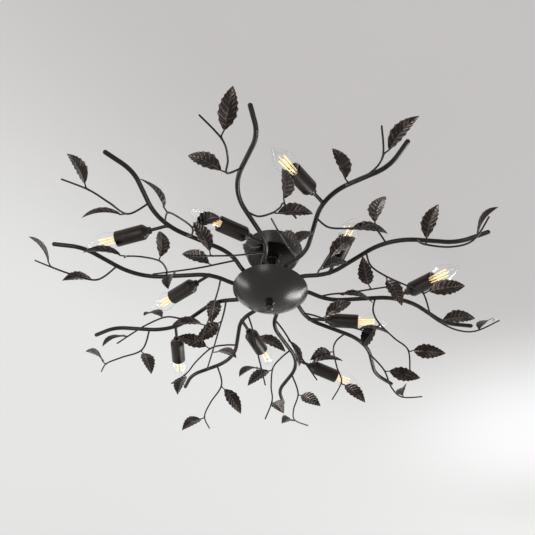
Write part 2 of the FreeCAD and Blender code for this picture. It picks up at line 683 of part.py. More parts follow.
def lamp_pieces():
    """The pieces of one candle lamp in its own frame, +Z along its axis."""
    radius = size("lamp_dia") / 2
    inner = radius - size("sleeve_wall")
    neck = size("cup_neck_dia") / 2
    bore = size("stub_dia") / 2 + size("fit_gap")
    start, cone, shoulder = size("cup_start"), size("cup_cone_start"), size("cup_shoulder")
    gauge = size("sheet_gauge")
    lip, spigot = inner - size("fit_gap"), shoulder + size("cup_spigot")
    shelf = shoulder - size("cup_rim")
    cup = turned("lamp_cup", [(bore, start), (neck, start), (neck, cone),
                              (radius - size("cup_shelf"), shoulder - size("cup_cone_drop")), (radius, shelf),
                              (radius, shoulder), (lip, shoulder), (lip, spigot), (lip - gauge, spigot),
                              (lip - gauge, shelf), (neck - gauge, cone + gauge), (bore, cone + gauge)])
    sleeve = turned("candle_sleeve", [(inner, shoulder), (radius, shoulder), (radius, size("lamp_front")),
                                      (inner, size("lamp_front"))])
    body, foot = size("holder_dia") / 2, size("holder_foot_dia") / 2
    socket = size("cap_dia") / 2 + size("loose_gap")
    floor, front, step = size("socket_floor"), size("holder_front"), size("holder_start")
    seat = cone + gauge
    holder = turned("lampholder", [(ZERO, seat), (foot, seat), (foot, size("holder_foot_end")),
                                   (size("holder_back_dia") / 2, step), (body, size("holder_shoulder")),
                                   (body, front), (socket, front), (socket, floor), (ZERO, floor)])
    return cup, sleeve, holder


def bulb_cap():
    """The screw cap, with its end contact."""
    radius, contact = size("cap_dia") / 2, size("contact_dia") / 2
    shell = radius - size("cap_thread_depth")
    start, end = size("cap_start"), size("cap_end")
    edge = end - size("cap_collar")
    tip = size("socket_floor") + size("loose_gap")
    bevel = size("cap_edge")
    return turned("bulb_cap", [(ZERO, tip), (contact, tip), (contact, size("contact_end")),
                               (shell - bevel, start), (shell, start + bevel),
                               (shell, edge - size("cap_thread_depth")), (radius, edge), (radius, end),
                               (ZERO, end)])


def bulb_glass():
    """The candle-shaped glass, a thin shell open at its neck."""
    belly, neck = size("bulb_dia") / 2, size("bulb_neck_dia") / 2
    front, widest, tip = size("lamp_front"), size("bulb_belly"), size("bulb_tip")
    start = size("cap_end") + size("loose_gap")
    gauge = size("glass_gauge")
    taper = tip - widest
    side = [(size("cap_dia") / 2, start),
            (neck * GLASS_NECK[0], start + (front - start) * GLASS_NECK[1]), (neck, front),
            (belly * GLASS_SHOULDER[0], front + (widest - front) * GLASS_SHOULDER[1]), (belly, widest)]
    side += [(belly * across, widest + taper * along) for across, along in GLASS_TAPER]
    inside = [(radius - gauge, height) for radius, height in side[:-1]]
    return turned("bulb_envelope", side + [(ZERO, tip), (ZERO, tip - gauge * 2)] + inside[::-1])


def filament_tree():
    """The stem, its carrier and the upright filaments inside the glass."""
    start = size("cap_end") + size("loose_gap")
    foot, top = size("filament_start"), size("filament_end")
    stem = primitive("Cylinder", "filament_stem", Radius=size("filament_stem_dia") / 2, Height=foot - start)
    carrier = primitive("Cylinder", "filament_carrier", Radius=size("carrier_dia") / 2,
                        Height=size("carrier_gauge"))
    lift(stem, start)
    lift(carrier, foot - size("carrier_gauge"))
    bars = [stem, carrier]
    for index in range(int(size("filament_count").value)):
        bar = primitive("Cylinder", f"filament_{index + 1}", Radius=size("filament_dia") / 2, Height=top - foot)
        turn = Rotation(Vector(0, 0, 1), 360 * (index + 0.5) / size("filament_count").value)
        lean = Rotation(Vector(0, 1, 0), FILAMENT_LEAN_DEGREES)
        root = Vector(size("filament_ring").value, 0, (foot - size("filament_sink")).value)
        bar.Placement = Placement(turn.multVec(root), turn * lean)
        bars.append(bar)
    return fuse("filament_tree", *bars)


# ---------------------------------------------------------------- assembly


def build():
    nodes = [ceiling_bracket(), terminal_block(), canopy(), canopy_collar(), collar_screw(), stem_tube(),
             stem_nipple(), stem_locknuts(), hub_drum(), hub_lid(), hub_base(), dome_cover(), finial_washer(),
             finial_knob()]
    points = arm_points()
    radii = [radius for _, _, radius in ARM_BENDS]
    tube_radius = size("tube_dia") / 2
    outer = swept("arm_outer", points, radii, tube_radius)
    inner = swept("arm_inner", points, radii, tube_radius - size("tube_wall"))
    arms = {kind: arm_of_kind(kind, outer, inner) for kind in LAMPS}
    twig_wires = {family: twig_wire(family, size("wire_dia") / 2) for family in TWIGS}
    leaf = leaf_blank()
    cup, sleeve, holder = lamp_pieces()
    cap = bulb_cap()
    glass = group("bulb_glass", bulb_glass(), filament_tree())
    fixed = {"lamp_cups": (cup, []), "candle_sleeves": (sleeve, []), "lampholders": (holder, [])}
    leaves = {kind: [] for kind in TWIGS}
    for index in range(int(size("arm_count").value)):
        number = index + 1
        kind = ARM_KINDS[index % 2]
        place = arm_placement(index)
        lamp_place = place * lamp_frame(kind)
        nodes.append(placed(f"arm_{number}", arms[kind], place))
        wires = []
        for family, wire in twig_wires.items():
            turn = twig_turn(family, index)
            stalks, grown = [], []
            for leaf_index, letter in enumerate("ab"):
                start, end, way = leaf_way(family, index, leaf_index)
                spot = leaf_place(end, way, LEAF_AIMS[family][leaf_index][index][2])
                stalks.append(stalk(f"{family}_stalk_{number}{letter}", start, end))
                grown.append(placed(f"{family}_leaf_{number}{letter}", leaf, turn * spot))
            leaves[family].append(placed_group(f"{family}_leaves_{number}", grown, place))
            bare = fuse(f"{family}_twig_{number}_bare", wire, *stalks)
            bare.Placement = turn
            seats = group(f"{family}_twig_{number}_seats", outer, *grown)
            wires.append(cut(f"{family}_twig_{number}", bare, seats))
        nodes.append(placed_group(f"twigs_{number}", wires, place))
        for name, (piece, copies) in fixed.items():
            copies.append(placed(f"{name}_{number}", piece, lamp_place))
        nodes.append(placed(f"bulb_cap_{number}", cap, lamp_place))
        nodes.append(placed(f"bulb_glass_{number}", glass, lamp_place))
    nodes += [group(name, *copies) for name, (_, copies) in fixed.items()]
    nodes += [group(f"{family}_leaves", *copies) for family, copies in leaves.items()]
    return nodes


def placed_group(name, shapes, placement):
    feature = group(name, *shapes)
    feature.Placement = placement
    return feature


def check(nodes):
    doc.recompute()
    for feature in doc.Objects:
        if "Invalid" in feature.State or "Error" in feature.State:
            raise RuntimeError(f"{feature.Name} failed: {feature.State}")
    for node in nodes:
        shape = node.Shape
        if shape.isNull() or not shape.isValid() or not shape.Solids:
            raise RuntimeError(f"{node.Name} has no valid solid")


def export(nodes):
    os.makedirs("parts", exist_ok=True)
    for node in nodes:
        node.Label = node.Name
        node.Shape.exportStep(f"parts/{node.Name}.step")
        print(f"{node.Name}: {len(node.Shape.Solids)} solids, {node.Shape.Volume / 1000:.2f} cm3")


NODES = build()
check(NODES)
export(NODES)
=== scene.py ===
"""Looks for the branch chandelier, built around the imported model."""

import math

import bmesh
import bpy
from mathutils import Matrix, Vector


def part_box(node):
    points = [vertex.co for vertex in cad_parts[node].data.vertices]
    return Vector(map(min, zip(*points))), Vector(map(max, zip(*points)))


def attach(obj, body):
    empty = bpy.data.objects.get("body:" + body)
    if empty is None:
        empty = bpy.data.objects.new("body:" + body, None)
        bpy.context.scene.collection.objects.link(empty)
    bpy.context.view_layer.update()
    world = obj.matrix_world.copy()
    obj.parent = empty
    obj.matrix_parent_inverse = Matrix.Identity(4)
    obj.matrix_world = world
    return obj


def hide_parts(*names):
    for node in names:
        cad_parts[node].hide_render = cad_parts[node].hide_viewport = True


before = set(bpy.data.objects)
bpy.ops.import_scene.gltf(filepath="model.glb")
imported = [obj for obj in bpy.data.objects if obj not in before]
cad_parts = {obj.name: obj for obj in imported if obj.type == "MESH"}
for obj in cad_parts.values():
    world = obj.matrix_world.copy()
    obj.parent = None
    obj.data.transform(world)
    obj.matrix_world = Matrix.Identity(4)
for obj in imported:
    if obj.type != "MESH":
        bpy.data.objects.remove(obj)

bl_info = {
    "name": "Branch chandelier",
    "version": (1, 0, 0),
    "blender": (4, 5, 0),
    "location": "View3D > Sidebar > Chandelier",
    "description": "Dresses a ceiling chandelier of bent tubes, wire twigs, pressed leaves and candle lamps",
    "category": "Object",
}

MM = 0.001
WARP_SCALE = 22.0

# ---------------------------------------------------------------- how the branches run, in millimetres

ARM_COUNT = 10
ARM_DROP = 98
FIRST_ARM_AZIMUTH = -81
ARM_TURNS = [1, 0, -1, 0, 0, 1, -2, -2, 1, 1]
ARM_KINDS = ["near", "far"]
ARM_CORNERS = [(32, -20), (66, -29), (112, -29), (222, -116), (338, -95), (386, -117)]
ARM_BENDS = [0, 80, 80, 110, 75, 0]

LAMPS = {
    "far": {"root": (211, -103), "points_to": (14, -89, -14)},
    "near": {"root": (113, -34), "points_to": (34, -91, -7)},
}
STUB_END = 37.2

TWIGS = {
    "outer": {
        "wire": [(268, -108, 0), (283, -130, -34), (325, -134, -49), (361, -148, -52), (387, -186, -42)],
        "leaves": [{"run": 1, "share": 0.0, "stalk": 12}, {"run": 3, "share": 0.0, "stalk": 14}],
    },
    "middle": {
        "wire": [(181, -84, 0), (190, -62, -10), (215, -46, -17), (250, -42, -38), (277, -43, -58),
                 (289, -21, -91)],
        "leaves": [{"run": 2, "share": 0.0, "stalk": 12}, {"run": 4, "share": 0.0, "stalk": 12}],
    },
    "inner": {
        "wire": [(91, -29, 0), (98, -54, -10), (110, -86, -26), (125, -125, -42), (139, -160, -56)],
        "leaves": [{"run": 1, "share": 0.4, "stalk": 10}, {"run": 3, "share": 0.0, "stalk": 12}],
    },
}

# Turns of each twig about the arm's x, y and z at its root, in degrees.
TWIG_TURNS = {
    "outer": [(0, 3, 0), (-3, 0, 0), (0, 5, -8), (10, -15, 0), (-3, 3, 4), (3, 0, 3), (3, 20, 0), (3, 0, 0),
              (-18, -3, 12), (-4, 0, 0)],
    "middle": [(-10, 0, 11), (-10, 1, -4), (-10, 0, 6), (-12, -2, 3), (9, -5, -2), (-18, 0, -4), (3, 0, 3),
               (-5, -2, 0), (5, -5, 10), (-24, -7, 10)],
    "inner": [(5, 5, -5), (-5, 0, 5), (5, 5, -5), (-5, -5, 5), (5, 0, -10), (10, -5, 10), (15, -5, 0),
              (10, -5, 0), (-5, -5, -35), (-5, 0, 5)],
}

# Each leaf's heading, rise and roll in degrees: the leaf nearer the twig's root, then the one at its fork.
LEAF_AIMS = {
    "outer": [
        [(-60, -15, 10), (-70, -5, -30), (-65, 20, 15), (-70, -15, -40), (-70, -15, -50), (-60, 5, -30),
         (-80, -35, 0), (-90, -5, 0), (-55, -10, 0), (-65, -15, -30)],
        [(0, 35, 0), (-5, 25, 15), (-10, 55, 20), (5, 25, 10), (-5, 50, -20), (10, 20, 5),
         (0, 15, 0), (-10, 35, 5), (-25, 30, 0), (-40, 45, 10)],
    ],
    "middle": [
        [(50, -10, 5), (35, -15, 20), (60, -5, 10), (150, -55, 45), (65, 0, 30), (40, 0, 15),
         (65, 0, 35), (75, -30, 0), (55, -5, -20), (65, 0, 15)],
        [(-25, -10, -35), (-35, -15, 30), (-25, -15, -25), (-25, -5, -40), (-25, -15, -25), (-30, 0, 0),
         (-30, -5, -30), (-25, -5, -30), (-30, -10, -25), (-15, -10, -20)],
    ],
    "inner": [
        [(10, -30, 0), (-15, -15, 20), (-35, -15, 0), (-50, -35, 15), (-100, 5, -10), (-50, -20, 30),
         (-115, 0, -5), (-35, -15, 30), (-75, -15, 0), (-25, -20, 15)],
        [(-30, 15, -5), (20, -55, 0), (-40, 5, 0), (-130, 80, 0), (-45, 0, 45), (-120, 15, 15),
         (-5, 5, -35), (-120, 30, 0), (-10, 0, 0), (30, -65, 45)],
    ],
}

# Silhouettes as (radius, height) in millimetres; lamp heights run along the lamp from the tube's middle.
CANOPY_SIDE = [(9.3, -23), (46, -23), (48, -22.4), (50, -20), (57.6, -0.4), (57.9, 0), (56.9, 0), (48.8, -20),
               (46.6, -21.8), (9.3, -21.8)]
COLLAR_SIDE = [(9.3, -32), (12.4, -32), (13.6, -31.4), (14, -30.4), (14, -24.6), (13.6, -23.6), (12.6, -23),
               (9.3, -23)]
STEM_SIDE = [(9, -84), (9, -17), (7.5, -17), (7.5, -84)]
WASHER_SIDE = [(5.3, -137), (9.6, -137), (10, -136.7), (10, -136.3), (9.7, -136), (5.3, -136)]
KNOB_SIDE = [(0, -152), (3, -151.9), (4.9, -151.4), (6.6, -150.3), (7.8, -148.7), (8.4, -146.7), (8.4, -144.6),
             (7.8, -142.6), (6.9, -141.2), (6.4, -140.4), (6.6, -139.8), (7.8, -139.5), (8.4, -139.2),
             (8.5, -138.7), (8.5, -137.4), (8.2, -137), (5.05, -137), (5.05, -147), (0, -147)]
CUP_SIDE = [(3.05, 31), (5.6, 31), (6.3, 31.4), (6.5, 32), (6.5, 35.2), (7, 36.4), (11.6, 41.4), (13.3, 43.6),
            (13.9, 45.2), (14, 46.6), (13.8, 47), (13.15, 47), (13.15, 52), (11.95, 52), (11.95, 45.2),
            (5.3, 37.2), (3.05, 37.2)]
SLEEVE_SIDE = [(13.2, 47), (13.8, 47), (14, 47.3), (14, 48.6), (13.75, 48.9), (13.75, 49.4), (14, 49.7),
               (14, 94.2), (13.9, 94.8), (13.6, 95), (13.3, 94.8), (13.2, 94.3)]
HOLDER_SIDE = [(0, 37.2), (4.5, 37.2), (4.5, 42), (7, 43), (10.2, 45), (11, 47), (11, 52), (10.6, 52.4),
               (10.6, 53.2), (11, 53.6), (11, 73.4), (10.6, 74), (7.6, 74), (7.2, 73.6), (7.2, 55), (0, 55)]
GLASS_SIDE = [(6.9, 75.3), (7.3, 78), (8.9, 82.4), (10.8, 88), (12.3, 95), (14.5, 101), (16.2, 106.5),
              (17.3, 111), (17.5, 114.5), (17.2, 118.5), (16, 123.6), (14, 129), (11.6, 134.4), (8.9, 139.8),
              (6.1, 144.8), (3.7, 148.8), (1.9, 151.5), (0.8, 152.7), (0, 153)]
GLASS_WALL = 0.5
DOME_RADIUS = 92.9
DOME_BOTTOM = -136
DOME_RIM = -103
DOME_HOLE = 5.3

CAP = {"tip": 55.3, "contact": 3, "contact_end": 56.5, "start": 57, "end": 75, "radius": 6.9, "shell": 6.3,
       "collar": 72.5, "pitch": 2.82, "thread_start": 59.5, "thread_end": 71.5}
FILAMENT = {"foot": 86, "top": 127, "ring": 4.4, "thick": 1.25, "count": 4, "lean": 2.0, "lift": 1.5,
            "lead": 0.35, "hook": 0.25, "post": 0.45, "post_top": 129.4}
STAND = {"start": 75.8, "waist": 82, "thin": 2.4, "thick": 4.9}


# The pressed leaf: how far it droops, folds and is toothed, and how finely it is meshed.
LEAF_BEND = 0.080
LEAF_FOLD = math.tan(math.radians(16))
LEAF_WIDEST = 0.42
LEAF_NECK = 0.001
LEAF_LEAD = 0.2
RIB_HALF = 0.0011
RIB_DEPTH = 0.0007
TOOTH_DEPTH = 0.15
ROWS_PER_VEIN = 6
COLUMNS = 7

# Each paint: its material's name, base colour, rubbed colour, gloss, metallic, bump and coat.
PAINTS = {
    "sleeve": ("Sleeve paint", (0.02, 0.0125, 0.009), (0.15, 0.1, 0.075), 0.26, 0.4, 0.15, 0.15),
    "cover": ("Cover paint", (0.015, 0.0115, 0.01), (0.034, 0.026, 0.022), 0.16, 0.4, 0.05, 0.45),
    "zinc": ("Zinc plate", (0.55, 0.55, 0.56), (0.7, 0.69, 0.66), 0.25, 1.0, 0.2, 0.0),
    "holder": ("Holder plastic", (0.05, 0.045, 0.04), (0.09, 0.08, 0.07), 0.35, 0.0, 0.2, 0.0),
    "nickel": ("Nickel cap", (0.72, 0.68, 0.6), (0.6, 0.55, 0.45), 0.14, 1.0, 0.1, 0.0),
    "brass": ("Brass lining", (0.78, 0.60, 0.33), (0.5, 0.36, 0.2), 0.22, 1.0, 0.15, 0.0),
    "terminal": ("Terminal plastic", (0.72, 0.72, 0.7), (0.6, 0.6, 0.57), 0.4, 0.0, 0.15, 0.0),
}
# Paler copper painted along the leaves' veins, rib and edges: partly rubbed wear, partly painted glints where
# the ridges catch the light.
LEAF_RUB_AND_GLINT_COLOR = (0.36, 0.26, 0.2)
PALE_AMBER = (1.0, 0.86, 0.52)

# Each soft light: name, place, what it looks at, width, height and power.
LIGHTS = [
    ("window", (1.7, 1.45, -1.0), (0, 0, -0.13), 0.7, 1.9, 38),
    ("window_left", (-1.9, 0.7, -0.9), (0, 0, -0.1), 0.5, 1.4, 10),
    ("room_front", (-0.9, -1.9, -1.3), (0, 0, -0.1), 0.8, 1.6, 12),
    ("above", (0.3, 0.4, 1.8), (0, 0, -0.1), 2.2, 2.2, 10),
]

# Where the ceiling turns from pale painted daylight to dull painted shade, as distances along a line across
# it, and its painted sunny patch.
PAINTED_SHADE_EDGE = {"angle": 139, "pale": -0.5, "dull": 0.3}
SUN_PATCH = (0.72, 0.6, 0.0)
SUN_REACH = (0.55, 0.05)
CEILING = {"half": 6.0, "level": 0.0006}
FLOOR = {"half": 8.0, "level": -2.4}
WALL_COLOR = (0.80, 0.80, 0.79)
ROOM_GLOW = 0.42
WALL_GLOW = 0.38
CAMERA = {"distance": 1292, "below": 41.12, "roll": -4.04, "pan": -0.37, "tilt": 1.68, "focal": 684,
          "image": 535}


# ---------------------------------------------------------------- settings a user would change


def a_length(name, description, default):
    return bpy.props.FloatProperty(name=name, description=description, default=default, unit="LENGTH")


def a_color(name, description, default):
    return bpy.props.FloatVectorProperty(name=name, description=description, default=default, subtype="COLOR")


class ChandelierLeaves(bpy.types.PropertyGroup):
    long: a_length("Leaf length", "Along the rib", 0.064)
    wide: a_length("Leaf width", "At the widest place", 0.030)
    gauge: a_length("Sheet gauge", "Thickness of the leaf", 0.0007)
    relief: a_length("Vein relief", "Height of the pressed veins", 0.0012)
    veins: bpy.props.IntProperty(name="Veins", description="Side veins on each half of the leaf", default=8)
    warp: a_length("Hand bend", "How far a leaf's tip strays", 0.0025)


class ChandelierBranches(bpy.types.PropertyGroup):
    tube: a_length("Tube", "Diameter of the arms", 0.008)
    stub: a_length("Lamp stub", "Diameter of the tube that carries a lamp", 0.006)
    wire: a_length("Wire", "Diameter of the twigs", 0.0034)
    stalk: a_length("Stalk", "Diameter of the leaf stalks", 0.0026)
    bead: bpy.props.FloatProperty(name="Weld bead", description="Its size against its wire", default=1.35)


class ChandelierFinish(bpy.types.PropertyGroup):
    paint: a_color("Paint", "Dark bronze of tubes and twigs", (0.013, 0.0098, 0.0083))
    rub: a_color("Rub", "Copper that shows on raised edges", (0.15, 0.1, 0.075))
    leaf: a_color("Leaf", "Dark bronze of the leaves", (0.014, 0.0095, 0.0078))
    amber: a_color("Filament", "Colour of the filament bars", (1.0, 0.66, 0.25))


class ChandelierStage(bpy.types.PropertyGroup):
    # The ceiling's glow colours are painted light: its lit part, its painted shade and its painted sun patch.
    ceiling: a_color("Ceiling", "Pale colour behind the lamp", (0.73, 0.73, 0.725))
    shade: a_color("Ceiling shade", "Colour of its duller part", (0.505, 0.488, 0.484))
    sun: a_color("Sun patch", "Colour where daylight meets the ceiling", (0.87, 0.87, 0.87))
    room_paint: a_color("Room paint", "What ceiling and floor show of light and shadow", (0.12, 0.12, 0.12))
    floor: a_color("Floor", "Colour of the room's floor", (0.62, 0.61, 0.6))
    level: bpy.props.FloatProperty(name="Light level", description="Strength of all lamps", default=1.0)


# ---------------------------------------------------------------- places


def arm_matrix(index):
    turn = FIRST_ARM_AZIMUTH + 360 * index / ARM_COUNT + ARM_TURNS[index]
    return Matrix.Translation((0, 0, -ARM_DROP)) @ Matrix.Rotation(math.radians(turn), 4, "Z")


def lamp_matrix(index):
    """+Z along the lamp, origin on the tube's middle line."""
    lamp = LAMPS[ARM_KINDS[index % 2]]
    turn = Vector((0, 0, 1)).rotation_difference(Vector(lamp["points_to"])).to_matrix().to_4x4()
    return arm_matrix(index) @ Matrix.Translation((*lamp["root"], 0)) @ turn


def twig_matrix(family, index):
    root = Vector(TWIGS[family]["wire"][0])
    x, y, z = (math.radians(angle) for angle in TWIG_TURNS[family][index])
    turn = Matrix.Rotation(z, 4, "Z") @ Matrix.Rotation(y, 4, "Y") @ Matrix.Rotation(x, 4, "X")
    return arm_matrix(index) @ Matrix.Translation(root) @ turn @ Matrix.Translation(-root)


def smooth_point(points, run, share):
    """A place on the smooth line through the points, as the wires follow it."""
    last = len(points) - 1
    before, start, end, after = (Vector(points[min(max(i, 0), last)]) for i in range(run - 1, run + 3))
    return 0.5 * (2 * start + (end - before) * share + (2 * before - 5 * start + 4 * end - after) * share ** 2
                  + (3 * start - before - 3 * end + after) * share ** 3)


def leaf_way(family, leaf_index, arm):
    """Where a stalk leaves its wire, where it ends, the way it points and the leaf's roll."""
    leaf = TWIGS[family]["leaves"][leaf_index]
    heading, rise, roll = (math.radians(angle) for angle in LEAF_AIMS[family][leaf_index][arm])
    way = Vector((math.cos(rise) * math.cos(heading), math.cos(rise) * math.sin(heading), math.sin(rise)))
    wire = TWIGS[family]["wire"]
    run, share = leaf["run"], leaf["share"]
    straight = Vector(wire[run]).lerp(Vector(wire[run + 1]), share)
    return smooth_point(wire, run, share), straight + way * leaf["stalk"], way, roll


def leaf_matrix(family, leaf_index, arm, droop):
    _, end, way, roll = leaf_way(family, leaf_index, arm)
    side = Vector((0, 0, 1)).cross(way).normalized()
    facing = Matrix((way, side, way.cross(side))).transposed().to_4x4()
    turn = Matrix.Rotation(roll, 4, "X") @ Matrix.Rotation(-droop, 4, "Y")
    return twig_matrix(family, arm) @ Matrix.Translation(end) @ facing @ turn


# ---------------------------------------------------------------- meshes


def new_object(name, mesh):
    piece = bpy.data.objects.new(name, mesh)
    bpy.context.scene.collection.objects.link(piece)
    return piece


def finished(piece, body, slot, *nodes):
    """Sets a piece on its body and hides the nodes it stands for."""
    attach(piece, body)
    if nodes:
        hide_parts(*nodes)
    return piece


def mesh_of(name, points, faces, edges=()):
    mesh = bpy.data.meshes.new(name)
    mesh.from_pydata([tuple(p) for p in points], list(edges), faces)
    mesh.update()
    return mesh


def lathed(name, side, steps=48):
    """A silhouette of (radius, height) in millimetres turned about Z; it closes on itself or on the axis."""
    points, faces, rows = [], [], []
    for radius, height in side:
        if radius < 1e-6:
            rows.append([len(points)])
            points.append((0, 0, height * MM))
            continue
        rows.append([len(points) + i for i in range(steps)])
        for i in range(steps):
            angle = 2 * math.pi * i / steps
            points.append((radius * math.cos(angle) * MM, radius * math.sin(angle) * MM, height * MM))
    pairs = list(zip(rows, rows[1:]))
    if side[0][0] > 1e-6 and side[-1][0] > 1e-6:
        pairs.append((rows[-1], rows[0]))
    for low, high in pairs:
        for i in range(steps):
            j = (i + 1) % steps
            if len(low) == 1 and len(high) == 1:
                continue
            if len(low) == 1:
                faces.append((low[0], high[j], high[i]))
            elif len(high) == 1:
                faces.append((low[i], low[j], high[0]))
            else:
                faces.append((low[i], low[j], high[j], high[i]))
    mesh = mesh_of(name, points, faces)
    outward(mesh)
    mesh.shade_smooth()
    mesh.set_sharp_from_angle(angle=math.radians(38))
    return mesh


def outward(mesh):
    """Turns every face outwards."""
    work = bmesh.new()
    work.from_mesh(mesh)
    bmesh.ops.remove_doubles(work, verts=work.verts, dist=1e-7)
    bmesh.ops.recalc_face_normals(work, faces=work.faces)
    work.to_mesh(mesh)
    work.free()


def placed_mesh(mesh, matrix, name):
    """A copy of a mesh in metres, set at a place given in millimetres."""
    copy = mesh.copy()
    copy.name = name
    copy.transform(metres(matrix))
    return copy


def metres(matrix):
    place = matrix.copy()
    place.translation = matrix.translation * MM
    return place


def float_attribute(mesh, name, values):
    attribute = mesh.attributes.new(name, "FLOAT", "POINT")
    attribute.data.foreach_set("value", values)


def vector_attribute(mesh, name, values):
    attribute = mesh.attributes.new(name, "FLOAT_VECTOR", "POINT")
    attribute.data.foreach_set("vector", [part for value in values for part in value])


# ---------------------------------------------------------------- geometry node trees


def tree_of(name, kind, inputs, outputs):
    tree = bpy.data.node_groups.new(name, kind)
    for direction, rows in (("INPUT", inputs), ("OUTPUT", outputs)):
        for label, socket_type, default in rows:
            socket = tree.interface.new_socket(label, in_out=direction, socket_type=socket_type)
            if default is not None:
                socket.default_value = default
    return tree, tree.nodes.new("NodeGroupInput"), tree.nodes.new("NodeGroupOutput")


def node(tree, kind, links=None, **settings):
    """A node with its settings, and its inputs linked from sockets or set to values."""
    made = tree.nodes.new(kind)
    for name, value in settings.items():
        setattr(made, name, value)
    for name, value in (links or {}).items():
        if isinstance(value, bpy.types.NodeSocket):
            tree.links.new(value, made.inputs[name])
        else:
            made.inputs[name].default_value = value
    return made


def math_node(tree, operation, *terms, clamp=False):
    links = dict(enumerate(terms))
    return node(tree, "ShaderNodeMath", links, operation=operation, use_clamp=clamp).outputs["Value"]


def attribute_node(tree, name, kind="FLOAT"):
    return node(tree, "GeometryNodeInputNamedAttribute", {"Name": name}, data_type=kind).outputs["Attribute"]


def rod_tree(name, smooth):
    """Round bars along a mesh's edges, bent to a radius or drawn smooth, with beads at marked points."""
    tree, start, end = tree_of(
        name, "GeometryNodeTree",
        [("Geometry", "NodeSocketGeometry", None), ("Sides", "NodeSocketInt", 16),
         ("Steps", "NodeSocketInt", 10), ("Material", "NodeSocketMaterial", None)],
        [("Geometry", "NodeSocketGeometry", None)])
    line = node(tree, "GeometryNodeMeshToCurve", {"Mesh": start.outputs["Geometry"]}).outputs["Curve"]
    if smooth:
        line = node(tree, "GeometryNodeCurveSplineType", {"Curve": line},
                    spline_type="CATMULL_ROM").outputs["Curve"]
        line = node(tree, "GeometryNodeSetSplineResolution",
                    {"Geometry": line, "Resolution": start.outputs["Steps"]}).outputs["Geometry"]
    else:
        fillet = node(tree, "GeometryNodeFilletCurve", {"Curve": line}, mode="POLY")
        tree.links.new(attribute_node(tree, "bend"), fillet.inputs["Radius"])
        tree.links.new(start.outputs["Steps"], fillet.inputs["Count"])
        line = fillet.outputs["Curve"]
    circle = node(tree, "GeometryNodeCurvePrimitiveCircle",
                  {"Resolution": start.outputs["Sides"], "Radius": 1.0}).outputs["Curve"]
    bars = node(tree, "GeometryNodeCurveToMesh",
                {"Curve": line, "Profile Curve": circle, "Scale": attribute_node(tree, "thick"),
                 "Fill Caps": True})
    ball = node(tree, "GeometryNodeMeshUVSphere", {"Segments": 14, "Rings": 8, "Radius": 1.0}).outputs["Mesh"]
    beads = node(tree, "GeometryNodeInstanceOnPoints",
                 {"Points": start.outputs["Geometry"], "Instance": ball,
                  "Scale": attribute_node(tree, "bead")})
    whole = node(tree, "GeometryNodeJoinGeometry")
    for socket in (beads.outputs["Instances"], bars.outputs["Mesh"]):
        tree.links.new(socket, whole.inputs["Geometry"])
    real = node(tree, "GeometryNodeRealizeInstances", {"Geometry": whole.outputs["Geometry"]})
    soft = node(tree, "GeometryNodeSetShadeSmooth", {"Geometry": real.outputs["Geometry"]})
    painted = node(tree, "GeometryNodeSetMaterial",
                   {"Geometry": soft.outputs["Geometry"], "Material": start.outputs["Material"]})
    tree.links.new(painted.outputs["Geometry"], end.inputs["Geometry"])
    return tree


def pattern_tree():
    """One piece at every point of a mesh, turned by the point's own angles, each a little out of true."""
    tree, start, end = tree_of(
        "Pieces on points", "GeometryNodeTree",
        [("Geometry", "NodeSocketGeometry", None), ("Pattern", "NodeSocketObject", None),
         ("Warp", "NodeSocketFloat", 0.0),
         ("Material", "NodeSocketMaterial", None), ("Inner material", "NodeSocketMaterial", None)],
        [("Geometry", "NodeSocketGeometry", None)])
    piece = node(tree, "GeometryNodeObjectInfo", {"Object": start.outputs["Pattern"]})
    spread = node(tree, "GeometryNodeInstanceOnPoints",
                  {"Points": start.outputs["Geometry"], "Instance": piece.outputs["Geometry"],
                   "Rotation": attribute_node(tree, "turn", "FLOAT_VECTOR")})
    real = node(tree, "GeometryNodeRealizeInstances", {"Geometry": spread.outputs["Instances"]})
    place = node(tree, "GeometryNodeInputPosition").outputs["Position"]
    noise = node(tree, "ShaderNodeTexNoise", {"Vector": place, "Scale": WARP_SCALE, "Detail": 1.0})
    centred = node(tree, "ShaderNodeVectorMath", {0: noise.outputs["Color"], 1: (0.5, 0.5, 0.5)},
                   operation="SUBTRACT")
    amount = math_node(tree, "MULTIPLY", attribute_node(tree, "along"), start.outputs["Warp"])
    offset = node(tree, "ShaderNodeVectorMath", {0: centred.outputs["Vector"], "Scale": amount},
                  operation="SCALE")
    moved = node(tree, "GeometryNodeSetPosition",
                 {"Geometry": real.outputs["Geometry"], "Offset": offset.outputs["Vector"]})
    outer = node(tree, "GeometryNodeSetMaterial",
                 {"Geometry": moved.outputs["Geometry"], "Material": start.outputs["Material"]})
    is_inner = node(tree, "FunctionNodeCompare", {0: attribute_node(tree, "inner"), 1: 0.5},
                    data_type="FLOAT", operation="GREATER_THAN")
    inner = node(tree, "GeometryNodeSetMaterial",
                 {"Geometry": outer.outputs["Geometry"], "Selection": is_inner.outputs["Result"],
                  "Material": start.outputs["Inner material"]})
    tree.links.new(inner.outputs["Geometry"], end.inputs["Geometry"])
    return tree


def grown(name, host, tree, **values):
    """Runs a tree on a host mesh and keeps the result as a plain mesh."""
    carrier = new_object(f"{name}_host", host)
    modifier = carrier.modifiers.new(tree.name, "NODES")
    modifier.node_group = tree
    sockets = {item.name: item.identifier for item in tree.interface.items_tree if item.in_out == "INPUT"}
    for label, value in values.items():
        modifier[sockets[label.replace("_", " ").capitalize()]] = value
    bpy.context.view_layer.update()
    graph = bpy.context.evaluated_depsgraph_get()
    mesh = bpy.data.meshes.new_from_object(carrier.evaluated_get(graph), preserve_all_data_layers=True,
                                           depsgraph=graph)
    bpy.data.objects.remove(carrier)
    return new_object(name, mesh)


# ---------------------------------------------------------------- materials


